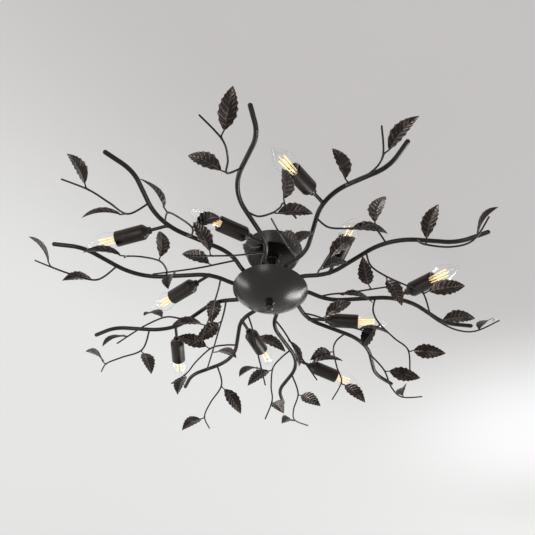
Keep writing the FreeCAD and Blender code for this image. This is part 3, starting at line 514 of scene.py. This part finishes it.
def surface_group():
    """Colour, roughness and height of old painted metal: cloudy paint, fine grain and rubbed raised places,
    which on the leaves also carry painted glints.
    """
    tree, start, end = tree_of(
        "Old paint", "ShaderNodeTree",
        [("Paint", "NodeSocketColor", (0.02, 0.02, 0.02, 1)), ("Rub", "NodeSocketColor", (0.2, 0.1, 0.06, 1)),
         ("Rub and glint", "NodeSocketFloat", 0.0), ("Gloss", "NodeSocketFloat", 0.35)],
        [("Color", "NodeSocketColor", None), ("Roughness", "NodeSocketFloat", None),
         ("Height", "NodeSocketFloat", None)])
    where = node(tree, "ShaderNodeTexCoord").outputs["Object"]
    cloud = node(tree, "ShaderNodeTexNoise", {"Vector": where, "Scale": 60.0, "Detail": 4.0}).outputs["Fac"]
    grain = node(tree, "ShaderNodeTexNoise", {"Vector": where, "Scale": 900.0, "Detail": 2.0})
    lighter_marks = math_node(tree, "MULTIPLY_ADD", cloud, 1.5, -0.88)
    mask = math_node(tree, "ADD", lighter_marks, start.outputs["Rub and glint"], clamp=True)
    tint = mixed(tree, mask, start.outputs["Paint"], start.outputs["Rub"])
    rough = math_node(tree, "MULTIPLY_ADD", cloud, 0.22, start.outputs["Gloss"], clamp=True)
    for name, socket in (("Color", tint), ("Roughness", rough), ("Height", grain.outputs["Fac"])):
        tree.links.new(socket, end.inputs[name])
    return tree


def material(name):
    made = bpy.data.materials.new(name)
    made.use_nodes = True
    return made, made.node_tree, made.node_tree.nodes["Principled BSDF"]


def color4(value):
    return (*value, 1.0)


def painted_metal(name, paint, rub, gloss, metallic, bump, coat):
    """Old paint or plate; where a piece carries the leaves' mark it is painted lighter along it, partly as
    rubbed wear and partly as painted glints.
    """
    _, tree, shader = material(name)
    # The leaves' mark paints their veins, rib and edges lighter, as wear and as painted glints; pieces without
    # it read 0.
    veins = node(tree, "ShaderNodeAttribute", attribute_name="rub_and_glint").outputs["Fac"]
    group = node(tree, "ShaderNodeGroup", node_tree=bpy.data.node_groups["Old paint"])
    for socket, value in (("Paint", color4(paint)), ("Rub", color4(rub)), ("Gloss", gloss)):
        group.inputs[socket].default_value = value
    tree.links.new(veins, group.inputs["Rub and glint"])
    tree.links.new(group.outputs["Color"], shader.inputs["Base Color"])
    tree.links.new(group.outputs["Roughness"], shader.inputs["Roughness"])
    relief = node(tree, "ShaderNodeBump",
                  {"Height": group.outputs["Height"], "Strength": bump, "Distance": 0.0004})
    tree.links.new(relief.outputs["Normal"], shader.inputs["Normal"])
    shader.inputs["Metallic"].default_value = metallic
    shader.inputs["Coat Weight"].default_value = coat
    shader.inputs["Coat Roughness"].default_value = 0.22


def clear_glass():
    """Thin clear glass that lets the lamps' light through to what it holds."""
    _, tree, shader = material("Clear glass")
    shader.inputs["Base Color"].default_value = (1, 1, 1, 1)
    shader.inputs["Roughness"].default_value = 0.0
    shader.inputs["IOR"].default_value = 1.3
    shader.inputs["Transmission Weight"].default_value = 1.0
    out = tree.nodes["Material Output"]
    path = node(tree, "ShaderNodeLightPath")
    through = node(tree, "ShaderNodeBsdfTransparent", {"Color": (0.93, 0.93, 0.93, 1)})
    mix = node(tree, "ShaderNodeMixShader", {"Fac": path.outputs["Is Shadow Ray"],
                                             1: shader.outputs["BSDF"], 2: through.outputs["BSDF"]})
    tree.links.new(mix.outputs["Shader"], out.inputs["Surface"])


def amber_filament(color):
    """Speckled phosphor over the bars, with a faint painted glow that keeps them bright."""
    _, tree, shader = material("Amber filament")
    where = node(tree, "ShaderNodeTexCoord").outputs["Object"]
    specks = node(tree, "ShaderNodeTexNoise", {"Vector": where, "Scale": 420.0, "Detail": 2.0})
    tint = mixed(tree, specks.outputs["Fac"], color, PALE_AMBER)
    tree.links.new(tint, shader.inputs["Base Color"])
    # Painted glow: the bars shine by their own emission, not by any lamp.
    tree.links.new(tint, shader.inputs["Emission Color"])
    shader.inputs["Emission Strength"].default_value = 0.6
    shader.inputs["Roughness"].default_value = 0.5


def make_materials():
    finish = bpy.context.scene.chandelier_finish
    surface_group()
    painted_metal("Tube paint", finish.paint, finish.rub, 0.22, 0.4, 0.2, 0.12)
    painted_metal("Leaf paint", finish.leaf, LEAF_RUB_AND_GLINT_COLOR, 0.2, 0.6, 0.3, 0.1)
    for row in PAINTS.values():
        painted_metal(*row)
    clear_glass()
    amber_filament(finish.amber)


def finish_of(key):
    """The material that a short word stands for."""
    others = {"tube": "Tube paint", "leaf": "Leaf paint", "glass": "Clear glass", "amber": "Amber filament"}
    return bpy.data.materials[others[key] if key in others else PAINTS[key][0]]


# ---------------------------------------------------------------- operators


class CHANDELIER_OT_finishes(bpy.types.Operator):
    """Makes the materials and the node trees, and paints the parts that keep their own shape"""

    bl_idname = "chandelier.finishes"
    bl_label = "Finishes"

    def execute(self, context):
        make_materials()
        rod_tree("Bent tube", smooth=False)
        rod_tree("Grown wire", smooth=True)
        pattern_tree()
        kept = {"ceiling_bracket": "zinc", "stem_nipple": "zinc", "stem_locknuts": "zinc",
                "collar_screw": "zinc", "hub_drum": "tube", "hub_lid": "tube", "hub_base": "tube",
                "terminal_block": "terminal"}
        for name, key in kept.items():
            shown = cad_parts[name]
            shown.data.materials.clear()
            shown.data.materials.append(finish_of(key))
        return {"FINISHED"}


class CHANDELIER_OT_arms(bpy.types.Operator):
    """Bends the ten tubes and their lamp stubs"""

    bl_idname = "chandelier.arms"
    bl_label = "Arms"

    def execute(self, context):
        sizes = context.scene.chandelier_branches
        tree = bpy.data.node_groups["Bent tube"]
        for index in range(ARM_COUNT):
            place = arm_matrix(index)
            points = [place @ Vector((x, y, 0)) for x, y in ARM_CORNERS]
            lamp = lamp_matrix(index)
            points += [lamp @ Vector((0, 0, 0)), lamp @ Vector((0, 0, STUB_END))]
            edges = [(i, i + 1) for i in range(5)] + [(6, 7)]
            tube, stub = sizes.tube / 2, sizes.stub / 2
            host = mesh_of("arm_lines", [p * MM for p in points], [], edges)
            float_attribute(host, "thick", [tube] * 6 + [stub] * 2)
            float_attribute(host, "bend", [radius * MM for radius in ARM_BENDS] + [0, 0])
            float_attribute(host, "bead", [0, 0, 0, 0, 0, tube * 0.995, tube * 1.12, 0])
            piece = grown(f"branch_tube_{index + 1}", host, tree, sides=24, steps=14,
                          material=finish_of("tube"))
            finished(piece, "fixture", "bronze_steel", f"arm_{index + 1}")
        return {"FINISHED"}


class CHANDELIER_OT_twigs(bpy.types.Operator):
    """Draws the wire twigs with their stalks and weld beads"""

    bl_idname = "chandelier.twigs"
    bl_label = "Twigs"

    def execute(self, context):
        sizes = context.scene.chandelier_branches
        tree = bpy.data.node_groups["Grown wire"]
        for arm in range(ARM_COUNT):
            points, edges, thick, beads = [], [], [], []
            for family, twig in TWIGS.items():
                place = twig_matrix(family, arm)
                wire = [Vector(p) for p in twig["wire"]]
                radii = [sizes.wire / 2 * (1.08 - 0.22 * i / (len(wire) - 1)) for i in range(len(wire))]
                dots = [sizes.wire / 2 * sizes.bead * 1.3] + [0.0] * (len(wire) - 2) + [radii[-1]]
                add_line([place @ p for p in wire], radii, dots, points, edges, thick, beads)
                for leaf_index in (0, 1):
                    stalk = stalk_line(family, leaf_index, arm)
                    thin = [sizes.stalk / 2 * share for share in (1.1, 1.0, 0.9, 0.75)]
                    dots = [thin[0] * sizes.bead, 0.0, 0.0, thin[-1]]
                    add_line([place @ p for p in stalk], thin, dots, points, edges, thick, beads)
            host = mesh_of("twig_lines", [p * MM for p in points], [], edges)
            float_attribute(host, "thick", thick)
            float_attribute(host, "bead", beads)
            piece = grown(f"twig_wires_{arm + 1}", host, tree, sides=12, steps=10, material=finish_of("tube"))
            finished(piece, "fixture", "bronze_steel", f"twigs_{arm + 1}")
        return {"FINISHED"}


def add_line(line, radii, dots, points, edges, thick, beads):
    first = len(points)
    points += line
    edges += [(first + i, first + i + 1) for i in range(len(line) - 1)]
    thick += radii
    beads += dots


def stalk_line(family, leaf_index, arm):
    """A stalk that leaves along its wire and runs on a little way under the leaf as its rib."""
    start, end, way, _ = leaf_way(family, leaf_index, arm)
    leaf = TWIGS[family]["leaves"][leaf_index]
    wire = TWIGS[family]["wire"]
    ahead = (smooth_point(wire, leaf["run"], leaf["share"] + 0.1) - start).normalized()
    bend = start + (ahead * 0.5 + way * 0.5) * leaf["stalk"] * 0.45
    rib = end + way * 1.5
    return [start, bend, end - way * 1.0, rib]


class CHANDELIER_OT_leaves(bpy.types.Operator):
    """Presses one leaf and sets sixty of it on the stalks"""

    bl_idname = "chandelier.leaves"
    bl_label = "Leaves"

    def execute(self, context):
        sizes = context.scene.chandelier_leaves
        pattern = new_object("leaf_pattern", pressed_leaf(sizes))
        droop = sizes.long / LEAF_BEND / 2
        for family in TWIGS:
            places = [leaf_matrix(family, leaf_index, arm, droop)
                      for arm in range(ARM_COUNT) for leaf_index in (0, 1)]
            spread_pattern(f"{family}_pressed_leaves", pattern, places, "leaf", "leaf", "leaf_steel",
                           f"{family}_leaves", warp=sizes.warp)
        bpy.data.objects.remove(pattern)
        return {"FINISHED"}


def spread_pattern(name, pattern, places, outer, inner, slot, replaced, warp=0.0):
    """Sets the pattern at every place, as one piece of the fixture."""
    host = mesh_of("places", [place.translation * MM for place in places], [])
    vector_attribute(host, "turn", [tuple(place.to_euler()) for place in places])
    piece = grown(name, host, bpy.data.node_groups["Pieces on points"], pattern=pattern, warp=warp,
                  material=finish_of(outer), inner_material=finish_of(inner))
    return finished(piece, "fixture", slot, *([replaced] if replaced else []))


def leaf_half_width(share, half):
    """Half the leaf's width at a share of its length."""
    if share < LEAF_WIDEST:
        swell = math.sin(math.pi / 2 * share / LEAF_WIDEST) ** 0.85
    else:
        swell = math.cos(math.pi / 2 * (share - LEAF_WIDEST) / (1 - LEAF_WIDEST)) ** 0.95
    return LEAF_NECK * (1 - share) + (half - LEAF_NECK * (1 - share)) * max(swell, 0.0)


def pressed_leaf(sizes):
    """A folded, drooping leaf with toothed edges; its veins run forward from the rib to the teeth."""
    points, rub_and_glint, along = [], [], []
    rows = (sizes.veins + 1) * ROWS_PER_VEIN
    for row in range(rows + 1):
        share = row / rows
        phase = (row % ROWS_PER_VEIN) / ROWS_PER_VEIN
        crest = abs(math.cos(math.pi * phase)) ** 2.2
        fade = min(1.0, share / 0.06, (1 - share) / 0.06)
        for column in range(-COLUMNS, COLUMNS + 1):
            across = abs(column) / COLUMNS
            ahead = share + LEAF_LEAD * math.sin(math.pi * share) * across
            half = leaf_half_width(min(ahead, 1.0), sizes.wide / 2)
            tooth = 1 - TOOTH_DEPTH * fade * across ** 3 * (1 - crest)
            y = math.copysign(across * half * tooth, column)
            rib = math.exp(-(across * half / RIB_HALF) ** 2)
            lift = abs(y) * LEAF_FOLD
            press = sizes.relief * fade * (crest * min(1.0, across * 4) * (1 - 0.5 * across) - 0.4)
            lift -= press * (1 - rib) + rib * RIB_DEPTH * (1 - 0.6 * share)
            bend = min(ahead, 1.0) * sizes.long / LEAF_BEND
            reach = LEAF_BEND + lift
            points.append((reach * math.sin(bend), y, reach * math.cos(bend) - LEAF_BEND))
            # Lighter along the crests of the veins, on the rib and at the edges: partly wear, partly painted
            # glints.
            edge = max(0.0, across - 0.82) / 0.18
            lighter_marks = 0.4 * crest ** 4 * min(1.0, across * 3) + 0.4 * rib + 0.45 * edge ** 2
            rub_and_glint.append(min(1.0, lighter_marks * fade))
            along.append(share)
    wide = 2 * COLUMNS + 1
    count = len(points)
    upper = [(x, y, z + sizes.gauge) for x, y, z in points]
    faces = []
    for row in range(rows):
        for column in range(wide - 1):
            a = row * wide + column
            b, c, d = a + 1, a + wide + 1, a + wide
            faces.append((a, b, c, d))
            faces.append((a + count, d + count, c + count, b + count))
    rim = [row * wide for row in range(rows + 1)]
    rim += [rows * wide + column for column in range(1, wide)]
    rim += [row * wide + wide - 1 for row in range(rows - 1, -1, -1)]
    rim += [column for column in range(wide - 2, 0, -1)]
    faces += [(rim[i], rim[(i + 1) % len(rim)], rim[(i + 1) % len(rim)] + count, rim[i] + count)
              for i in range(len(rim))]
    mesh = mesh_of("leaf_pattern", points + upper, faces)
    float_attribute(mesh, "rub_and_glint", rub_and_glint + [v * 0.5 for v in rub_and_glint])
    float_attribute(mesh, "along", along * 2)
    outward(mesh)
    mesh.shade_smooth()
    mesh.set_sharp_from_angle(angle=math.radians(50))
    return mesh


class CHANDELIER_OT_lamps(bpy.types.Operator):
    """Turns the cups, candle sleeves and lampholders and sets ten of each"""

    bl_idname = "chandelier.lamps"
    bl_label = "Candle lamps"

    def execute(self, context):
        places = [lamp_matrix(index) for index in range(ARM_COUNT)]
        rows = [("lamp_cup_rims", CUP_SIDE, "sleeve", "sleeve", "bronze_steel", "lamp_cups"),
                ("candle_tubes", SLEEVE_SIDE, "sleeve", "brass", "bronze_steel", "candle_sleeves"),
                ("lamp_sockets", HOLDER_SIDE, "holder", "brass", "holder_plastic", "lampholders")]
        for name, side, outer, inner, slot, replaced in rows:
            mesh = lathed(name, side)
            mark_inner(mesh, name)
            pattern = new_object(f"{name}_pattern", mesh)
            spread_pattern(name, pattern, places, outer, inner, slot, replaced)
            bpy.data.objects.remove(pattern)
        return {"FINISHED"}


def mark_inner(mesh, name):
    """Marks the sleeve's lining and the socket's screw shell."""
    limits = {"candle_tubes": 13.35, "lamp_sockets": 7.5}
    limit = limits.get(name, 0.0) * MM
    values = [1.0 if math.hypot(v.co.x, v.co.y) < limit and v.co.z > 0.05 else 0.0 for v in mesh.vertices]
    float_attribute(mesh, "inner", values)


class CHANDELIER_OT_bulbs(bpy.types.Operator):
    """Makes the screw caps, the glass and the filaments of the ten bulbs"""

    bl_idname = "chandelier.bulbs"
    bl_label = "Bulbs"

    def execute(self, context):
        inside = [(max(radius - GLASS_WALL, 0.0), height - (GLASS_WALL if radius < 1 else 0.0))
                  for radius, height in GLASS_SIDE]
        envelope = lathed("envelope", rounded(GLASS_SIDE) + rounded(inside)[::-1], steps=40)
        cap = threaded_cap()
        sticks, supports = filament_meshes()
        for index in range(ARM_COUNT):
            number, place = index + 1, lamp_matrix(index)
            rows = [("screw_cap", cap, "nickel", f"cap_{number}", "nickel_cap", f"bulb_cap_{number}"),
                    ("glass_candle", envelope, "glass", f"glass_{number}", "bulb_glass",
                     f"bulb_glass_{number}"),
                    ("filaments", sticks, "amber", f"glass_{number}", "bulb_glass", None),
                    ("filament_stand", supports, "nickel", f"glass_{number}", "nickel_cap", None)]
            for name, mesh, key, body, slot, replaced in rows:
                piece = new_object(f"{name}_{number}", placed_mesh(mesh, place, name))
                piece.data.materials.clear()
                piece.data.materials.append(finish_of(key))
                finished(piece, body, slot, *([replaced] if replaced else []))
        return {"FINISHED"}


def rounded(side, steps=3):
    """More points on a smooth silhouette that keeps to its ends."""
    line = [(radius, height, 0.0) for radius, height in side]
    out = []
    for run in range(len(line) - 1):
        for step in range(steps):
            point = smooth_point(line, run, step / steps)
            out.append((max(point.x, 0.0), point.y))
    return out + [side[-1]]


def threaded_cap():
    """The screw cap: a helical thread between its contact and its collar."""
    steps = 40
    rows = [(0, CAP["tip"], 0), (CAP["contact"] - 0.6, CAP["tip"], 0), (CAP["contact"], CAP["tip"] + 0.4, 0),
            (CAP["contact"], CAP["contact_end"], 0), (CAP["shell"] - 1.2, CAP["start"], 0),
            (CAP["shell"] - 0.2, CAP["start"] + 1.2, 0)]
    height = CAP["thread_start"]
    while height < CAP["thread_end"]:
        rows.append((CAP["shell"], height, 1))
        height += 0.45
    rows += [(CAP["shell"], CAP["collar"] - 0.4, 0), (CAP["radius"], CAP["collar"], 0),
             (CAP["radius"], CAP["end"], 0), (0, CAP["end"], 0)]
    points, faces = [], []
    for radius, level, threaded in rows:
        for i in range(steps):
            angle = 2 * math.pi * i / steps
            wave = 0.5 + 0.5 * math.cos(2 * math.pi * level / CAP["pitch"] - angle)
            reach = radius + threaded * (CAP["radius"] - CAP["shell"]) * wave
            points.append((reach * math.cos(angle) * MM, reach * math.sin(angle) * MM, level * MM))
    for row in range(len(rows) - 1):
        for i in range(steps):
            j = (i + 1) % steps
            faces.append((row * steps + i, row * steps + j, (row + 1) * steps + j, (row + 1) * steps + i))
    mesh = mesh_of("screw_cap", points, faces)
    outward(mesh)
    mesh.shade_smooth()
    mesh.set_sharp_from_angle(angle=math.radians(50))
    return mesh


def filament_meshes():
    """The amber bars, and the stem with its carrier and the wires that hold the bars."""
    bars, stand = bmesh.new(), bmesh.new()
    foot, top, ring = FILAMENT["foot"], FILAMENT["top"], FILAMENT["ring"]
    lean = math.tan(math.radians(FILAMENT["lean"]))
    for i in range(FILAMENT["count"]):
        angle = 2 * math.pi * (i + 0.5) / FILAMENT["count"]
        low = Vector((ring * math.cos(angle), ring * math.sin(angle), foot + FILAMENT["lift"]))
        reach = ring + lean * (top - foot)
        high = Vector((reach * math.cos(angle), reach * math.sin(angle), top))
        rod(bars, low, high, FILAMENT["thick"], 10)
        rod(stand, low - Vector((0, 0, 2.5)), low + Vector((0, 0, 0.4)), FILAMENT["lead"], 8)
        hook = Vector((0.6 * math.cos(angle), 0.6 * math.sin(angle), top + 2.2))
        rod(stand, high, hook, FILAMENT["hook"], 6)
    for start, end, radius, sides in ((STAND["start"], STAND["waist"], STAND["thin"], 16),
                                      (STAND["waist"], foot, STAND["thick"], 20),
                                      (foot, FILAMENT["post_top"], FILAMENT["post"], 8)):
        rod(stand, Vector((0, 0, start)), Vector((0, 0, end)), radius, sides)
    meshes = []
    for name, work in (("filaments", bars), ("filament_stand", stand)):
        mesh = bpy.data.meshes.new(name)
        bmesh.ops.recalc_face_normals(work, faces=work.faces)
        work.to_mesh(mesh)
        work.free()
        mesh.shade_smooth()
        mesh.set_sharp_from_angle(angle=math.radians(50))
        meshes.append(mesh)
    return meshes


def rod(work, start, end, radius, sides):
    """A round bar with softened ends, from millimetres to metres."""
    way = end - start
    turn = Vector((0, 0, 1)).rotation_difference(way).to_matrix()
    soft = min(radius * 0.4, way.length / 3)
    rings = []
    for level, share in ((0, 0.6), (soft, 1.0), (way.length - soft, 1.0), (way.length, 0.6)):
        ring = []
        for i in range(sides):
            angle = 2 * math.pi * i / sides
            local = Vector((radius * share * math.cos(angle), radius * share * math.sin(angle), level))
            ring.append(work.verts.new((start + turn @ local) * MM))
        rings.append(ring)
    for low, high in zip(rings, rings[1:]):
        for i in range(sides):
            work.faces.new((low[i], low[(i + 1) % sides], high[(i + 1) % sides], high[i]))
    work.faces.new(rings[0][::-1])
    work.faces.new(rings[-1])


class CHANDELIER_OT_cover(bpy.types.Operator):
    """Spins the dome that covers the hub, its washer and its knob"""

    bl_idname = "chandelier.cover"
    bl_label = "Cover"

    def execute(self, context):
        rows = [("spun_dome", dome_side(), "cover", "cover", "gloss_cover", "dome_cover", 128),
                ("cover_washer", WASHER_SIDE, "cover", "cover", "gloss_cover", "finial_washer", 64),
                ("turned_knob", KNOB_SIDE, "cover", "knob", "gloss_cover", "finial_knob", 64)]
        for row in rows:
            turned_piece(*row)
        return {"FINISHED"}


def turned_piece(name, side, key, body, slot, replaced, steps):
    piece = new_object(name, lathed(name, side, steps=steps))
    piece.data.materials.append(finish_of(key))
    return finished(piece, body, slot, replaced)


def dome_side():
    """A shallow bowl with a rolled rim."""
    centre = DOME_BOTTOM + DOME_RADIUS
    gauge = 1.2
    low = math.asin(DOME_HOLE / DOME_RADIUS)
    high = math.acos((centre - DOME_RIM) / DOME_RADIUS)
    outer, inner = [], []
    for step in range(25):
        angle = low + (high - low) * step / 24
        for line, radius in ((outer, DOME_RADIUS), (inner, DOME_RADIUS - gauge)):
            line.append((radius * math.sin(angle), centre - radius * math.cos(angle)))
    outer[-1] = (outer[-1][0] - 0.05, DOME_RIM - 0.4)
    inner[-1] = (inner[-1][0], DOME_RIM)
    return outer + [((outer[-1][0] + inner[-1][0]) / 2 + 0.3, DOME_RIM)] + inner[::-1]


class CHANDELIER_OT_canopy(bpy.types.Operator):
    """Spins the ceiling cup, its collar and the stem, and sets the terminal's screws"""

    bl_idname = "chandelier.canopy"
    bl_label = "Canopy and stem"

    def execute(self, context):
        rows = [("spun_canopy", CANOPY_SIDE, "cover", "canopy_cup", "bronze_steel", "canopy", 128),
                ("turned_collar", COLLAR_SIDE, "cover", "canopy_cup", "bronze_steel", "canopy_collar", 64),
                ("stem_sleeve", STEM_SIDE, "cover", "fixture", "bronze_steel", "stem_tube", 64)]
        for row in rows:
            turned_piece(*row)
        low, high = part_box("terminal_block")
        places = []
        for x in (low.x + 0.003, high.x - 0.003):
            for y in (-0.00933, 0.0, 0.00933):
                spot = Matrix.Translation(Vector((x, y, low.z)) / MM)
                places.append(spot @ Matrix.Rotation(math.pi, 4, "X"))
        pattern = new_object("terminal_screw_pattern", slotted_screw())
        spread_pattern("terminal_screws", pattern, places, "brass", "brass", "zinc_steel", None)
        bpy.data.objects.remove(pattern)
        return {"FINISHED"}


def slotted_screw():
    """A small cheese head with a slot, standing on z = 0."""
    work = bmesh.new()
    radius, half_slot, low, high = 1.6, 0.25, 0.25, 0.7
    rod(work, Vector((0, 0, 0)), Vector((0, 0, low)), radius, 24)
    for side in (1, -1):
        first = math.asin(half_slot / radius)
        arc = [first + (math.pi - 2 * first) * i / 10 for i in range(11)]
        lower, upper = ([work.verts.new(Vector((radius * math.cos(a), side * radius * math.sin(a), z)) * MM)
                         for a in arc] for z in (low * 0.8, high))
        work.faces.new(upper)
        work.faces.new(lower[::-1])
        for i in range(11):
            j = (i + 1) % 11
            work.faces.new((lower[i], lower[j], upper[j], upper[i]))
    bmesh.ops.recalc_face_normals(work, faces=work.faces)
    mesh = bpy.data.meshes.new("slotted_screw")
    work.to_mesh(mesh)
    work.free()
    return mesh


class CHANDELIER_OT_stage(bpy.types.Operator):
    """Sets the ceiling, the floor, the lamps and the camera"""

    bl_idname = "chandelier.stage"
    bl_label = "Stage"

    def execute(self, context):
        settings = context.scene.chandelier_stage
        scene = context.scene
        scene.view_settings.view_transform = "Standard"
        ceiling = new_object("ceiling", flat_sheet("ceiling", CEILING["half"], CEILING["level"], down=True))
        ceiling.data.materials.append(ceiling_paint(settings))
        floor = new_object("floor", flat_sheet("floor", FLOOR["half"], FLOOR["level"], down=False))
        floor.data.materials.append(floor_paint(settings))
        world = bpy.data.worlds.new("Room")
        scene.world = world
        world.use_nodes = True
        back = world.node_tree.nodes["Background"]
        back.inputs["Color"].default_value = color4(WALL_COLOR)
        glow = math_node(world.node_tree, "MULTIPLY_ADD", eye_rays(world.node_tree), WALL_GLOW,
                         ROOM_GLOW * settings.level)
        world.node_tree.links.new(glow, back.inputs["Strength"])
        for name, place, target, wide, high, power in LIGHTS:
            area_light(name, place, target, wide, high, power * settings.level)
        set_camera(scene)
        return {"FINISHED"}


def flat_sheet(name, half, level, down):
    corners = [(-half, -half, level), (half, -half, level), (half, half, level), (-half, half, level)]
    face = (3, 2, 1, 0) if down else (0, 1, 2, 3)
    return mesh_of(name, corners, [face])


def ceiling_paint(settings):
    """Pale paint with a soft painted band of daylight and painted shade across it and a painted sun patch,
    shown to the eye as glow, and open from above and to light from above.
    """
    made, tree, shader = material("Ceiling paint")
    shader.inputs["Roughness"].default_value = 0.9
    shader.inputs["Specular IOR Level"].default_value = 0.1
    where = node(tree, "ShaderNodeTexCoord").outputs["Object"]
    angle = math.radians(PAINTED_SHADE_EDGE["angle"])
    turned = node(tree, "ShaderNodeMapping", {"Vector": where, "Rotation": (0, 0, angle)})
    split = node(tree, "ShaderNodeSeparateXYZ", {"Vector": turned.outputs["Vector"]})
    band = node(tree, "ShaderNodeMapRange",
                {"Value": split.outputs["Y"], "From Min": PAINTED_SHADE_EDGE["pale"], "From Max": PAINTED_SHADE_EDGE["dull"]},
                interpolation_type="SMOOTHSTEP")
    away = node(tree, "ShaderNodeVectorMath", {0: where, 1: SUN_PATCH}, operation="DISTANCE")
    patch = node(tree, "ShaderNodeMapRange",
                 {"Value": away.outputs["Value"], "From Min": SUN_REACH[0], "From Max": SUN_REACH[1]},
                 interpolation_type="SMOOTHSTEP")
    # Painted light and shade: painted daylight fading to painted shade across the ceiling, then a painted sun
    # patch.
    tint = mixed(tree, band.outputs["Result"], settings.ceiling, settings.shade)
    sunny = mixed(tree, patch.outputs["Result"], tint, settings.sun)
    tree.links.new(sunny, shader.inputs["Emission Color"])
    shader.inputs["Base Color"].default_value = color4(settings.room_paint)
    tree.links.new(eye_rays(tree), shader.inputs["Emission Strength"])
    see_through(tree, shader, shadow=True)
    return made


def eye_rays(tree):
    """1 on the rays that carry the picture: straight from the camera, off metal or through glass."""
    path = node(tree, "ShaderNodeLightPath")
    seen = path.outputs["Is Camera Ray"]
    for ray in ("Is Glossy Ray", "Is Transmission Ray"):
        seen = math_node(tree, "MAXIMUM", seen, path.outputs[ray])
    return seen


def mixed(tree, factor, first, second):
    """A blend of two colours, each a socket or a value."""
    blend = node(tree, "ShaderNodeMix", data_type="RGBA")
    tree.links.new(factor, blend.inputs["Factor"])
    for name, value in (("A", first), ("B", second)):
        if isinstance(value, bpy.types.NodeSocket):
            tree.links.new(value, blend.inputs[name])
        else:
            blend.inputs[name].default_value = color4(value)
    return blend.outputs["Result"]


def floor_paint(settings):
    made, tree, shader = material("Floor paint")
    shader.inputs["Base Color"].default_value = color4(settings.room_paint)
    shader.inputs["Emission Color"].default_value = color4(settings.floor)
    shader.inputs["Roughness"].default_value = 0.9
    tree.links.new(eye_rays(tree), shader.inputs["Emission Strength"])
    see_through(tree, shader, shadow=False)
    return made


def see_through(tree, shader, shadow):
    """Makes the back of a sheet clear, and if asked also lets light through."""
    clear = node(tree, "ShaderNodeBsdfTransparent")
    back = node(tree, "ShaderNodeNewGeometry").outputs["Backfacing"]
    fac = back
    if shadow:
        path = node(tree, "ShaderNodeLightPath")
        fac = math_node(tree, "MAXIMUM", back, path.outputs["Is Shadow Ray"])
    mix = node(tree, "ShaderNodeMixShader", {"Fac": fac, 1: shader.outputs["BSDF"], 2: clear.outputs["BSDF"]})
    tree.links.new(mix.outputs["Shader"], tree.nodes["Material Output"].inputs["Surface"])


def area_light(name, place, target, wide, high, power):
    lamp = bpy.data.lights.new(name, "AREA")
    lamp.shape = "RECTANGLE"
    lamp.size, lamp.size_y, lamp.energy = wide, high, power
    holder = bpy.data.objects.new(name, lamp)
    bpy.context.scene.collection.objects.link(holder)
    holder.location = place
    holder.rotation_euler = (Vector(target) - Vector(place)).to_track_quat("-Z", "Y").to_euler()


def set_camera(scene):
    """Stands the camera where the photograph was taken from, below the lamp and a little turned."""
    below = math.radians(CAMERA["below"])
    offset = Vector((0, -math.cos(below), -math.sin(below))) * CAMERA["distance"]
    ahead = -offset.normalized()
    right = Vector((1, 0, 0))
    up = right.cross(ahead)
    ahead = ahead + right * math.tan(math.radians(CAMERA["pan"])) + up * math.tan(math.radians(CAMERA["tilt"]))
    ahead.normalize()
    right = (right - ahead * right.dot(ahead)).normalized()
    up = right.cross(ahead)
    roll = math.radians(CAMERA["roll"])
    across = right * math.cos(roll) - up * math.sin(roll)
    upright = right * math.sin(roll) + up * math.cos(roll)
    turn = Matrix((across, upright, -ahead)).transposed().to_4x4()
    camera = bpy.data.cameras.new("camera")
    camera.sensor_width = 36
    camera.lens = CAMERA["focal"] / CAMERA["image"] * camera.sensor_width
    holder = bpy.data.objects.new("camera", camera)
    scene.collection.objects.link(holder)
    holder.matrix_world = Matrix.Translation((offset + Vector((0, 0, -ARM_DROP))) * MM) @ turn
    scene.camera = holder


# ---------------------------------------------------------------- panel and registration


class CHANDELIER_PT_panel(bpy.types.Panel):
    """Lists the steps that build the chandelier"""

    bl_idname = "CHANDELIER_PT_panel"
    bl_label = "Branch chandelier"
    bl_space_type = "VIEW_3D"
    bl_region_type = "UI"
    bl_category = "Chandelier"

    def draw(self, context):
        for step in STEPS:
            self.layout.operator(step.bl_idname)


STEPS = [CHANDELIER_OT_finishes, CHANDELIER_OT_arms, CHANDELIER_OT_twigs, CHANDELIER_OT_leaves,
         CHANDELIER_OT_lamps, CHANDELIER_OT_bulbs, CHANDELIER_OT_cover, CHANDELIER_OT_canopy,
         CHANDELIER_OT_stage]
GROUPS = {"chandelier_leaves": ChandelierLeaves, "chandelier_branches": ChandelierBranches,
          "chandelier_finish": ChandelierFinish, "chandelier_stage": ChandelierStage}


def register():
    for kind in [*GROUPS.values(), *STEPS, CHANDELIER_PT_panel]:
        bpy.utils.register_class(kind)
    for name, kind in GROUPS.items():
        setattr(bpy.types.Scene, name, bpy.props.PointerProperty(type=kind))


def unregister():
    for name in GROUPS:
        delattr(bpy.types.Scene, name)
    for kind in reversed([*GROUPS.values(), *STEPS, CHANDELIER_PT_panel]):
        bpy.utils.unregister_class(kind)


def main():
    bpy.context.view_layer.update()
    register()
    for step in STEPS:
        group, name = step.bl_idname.split(".")
        getattr(getattr(bpy.ops, group), name)()


if __name__ == "__main__":
    main()
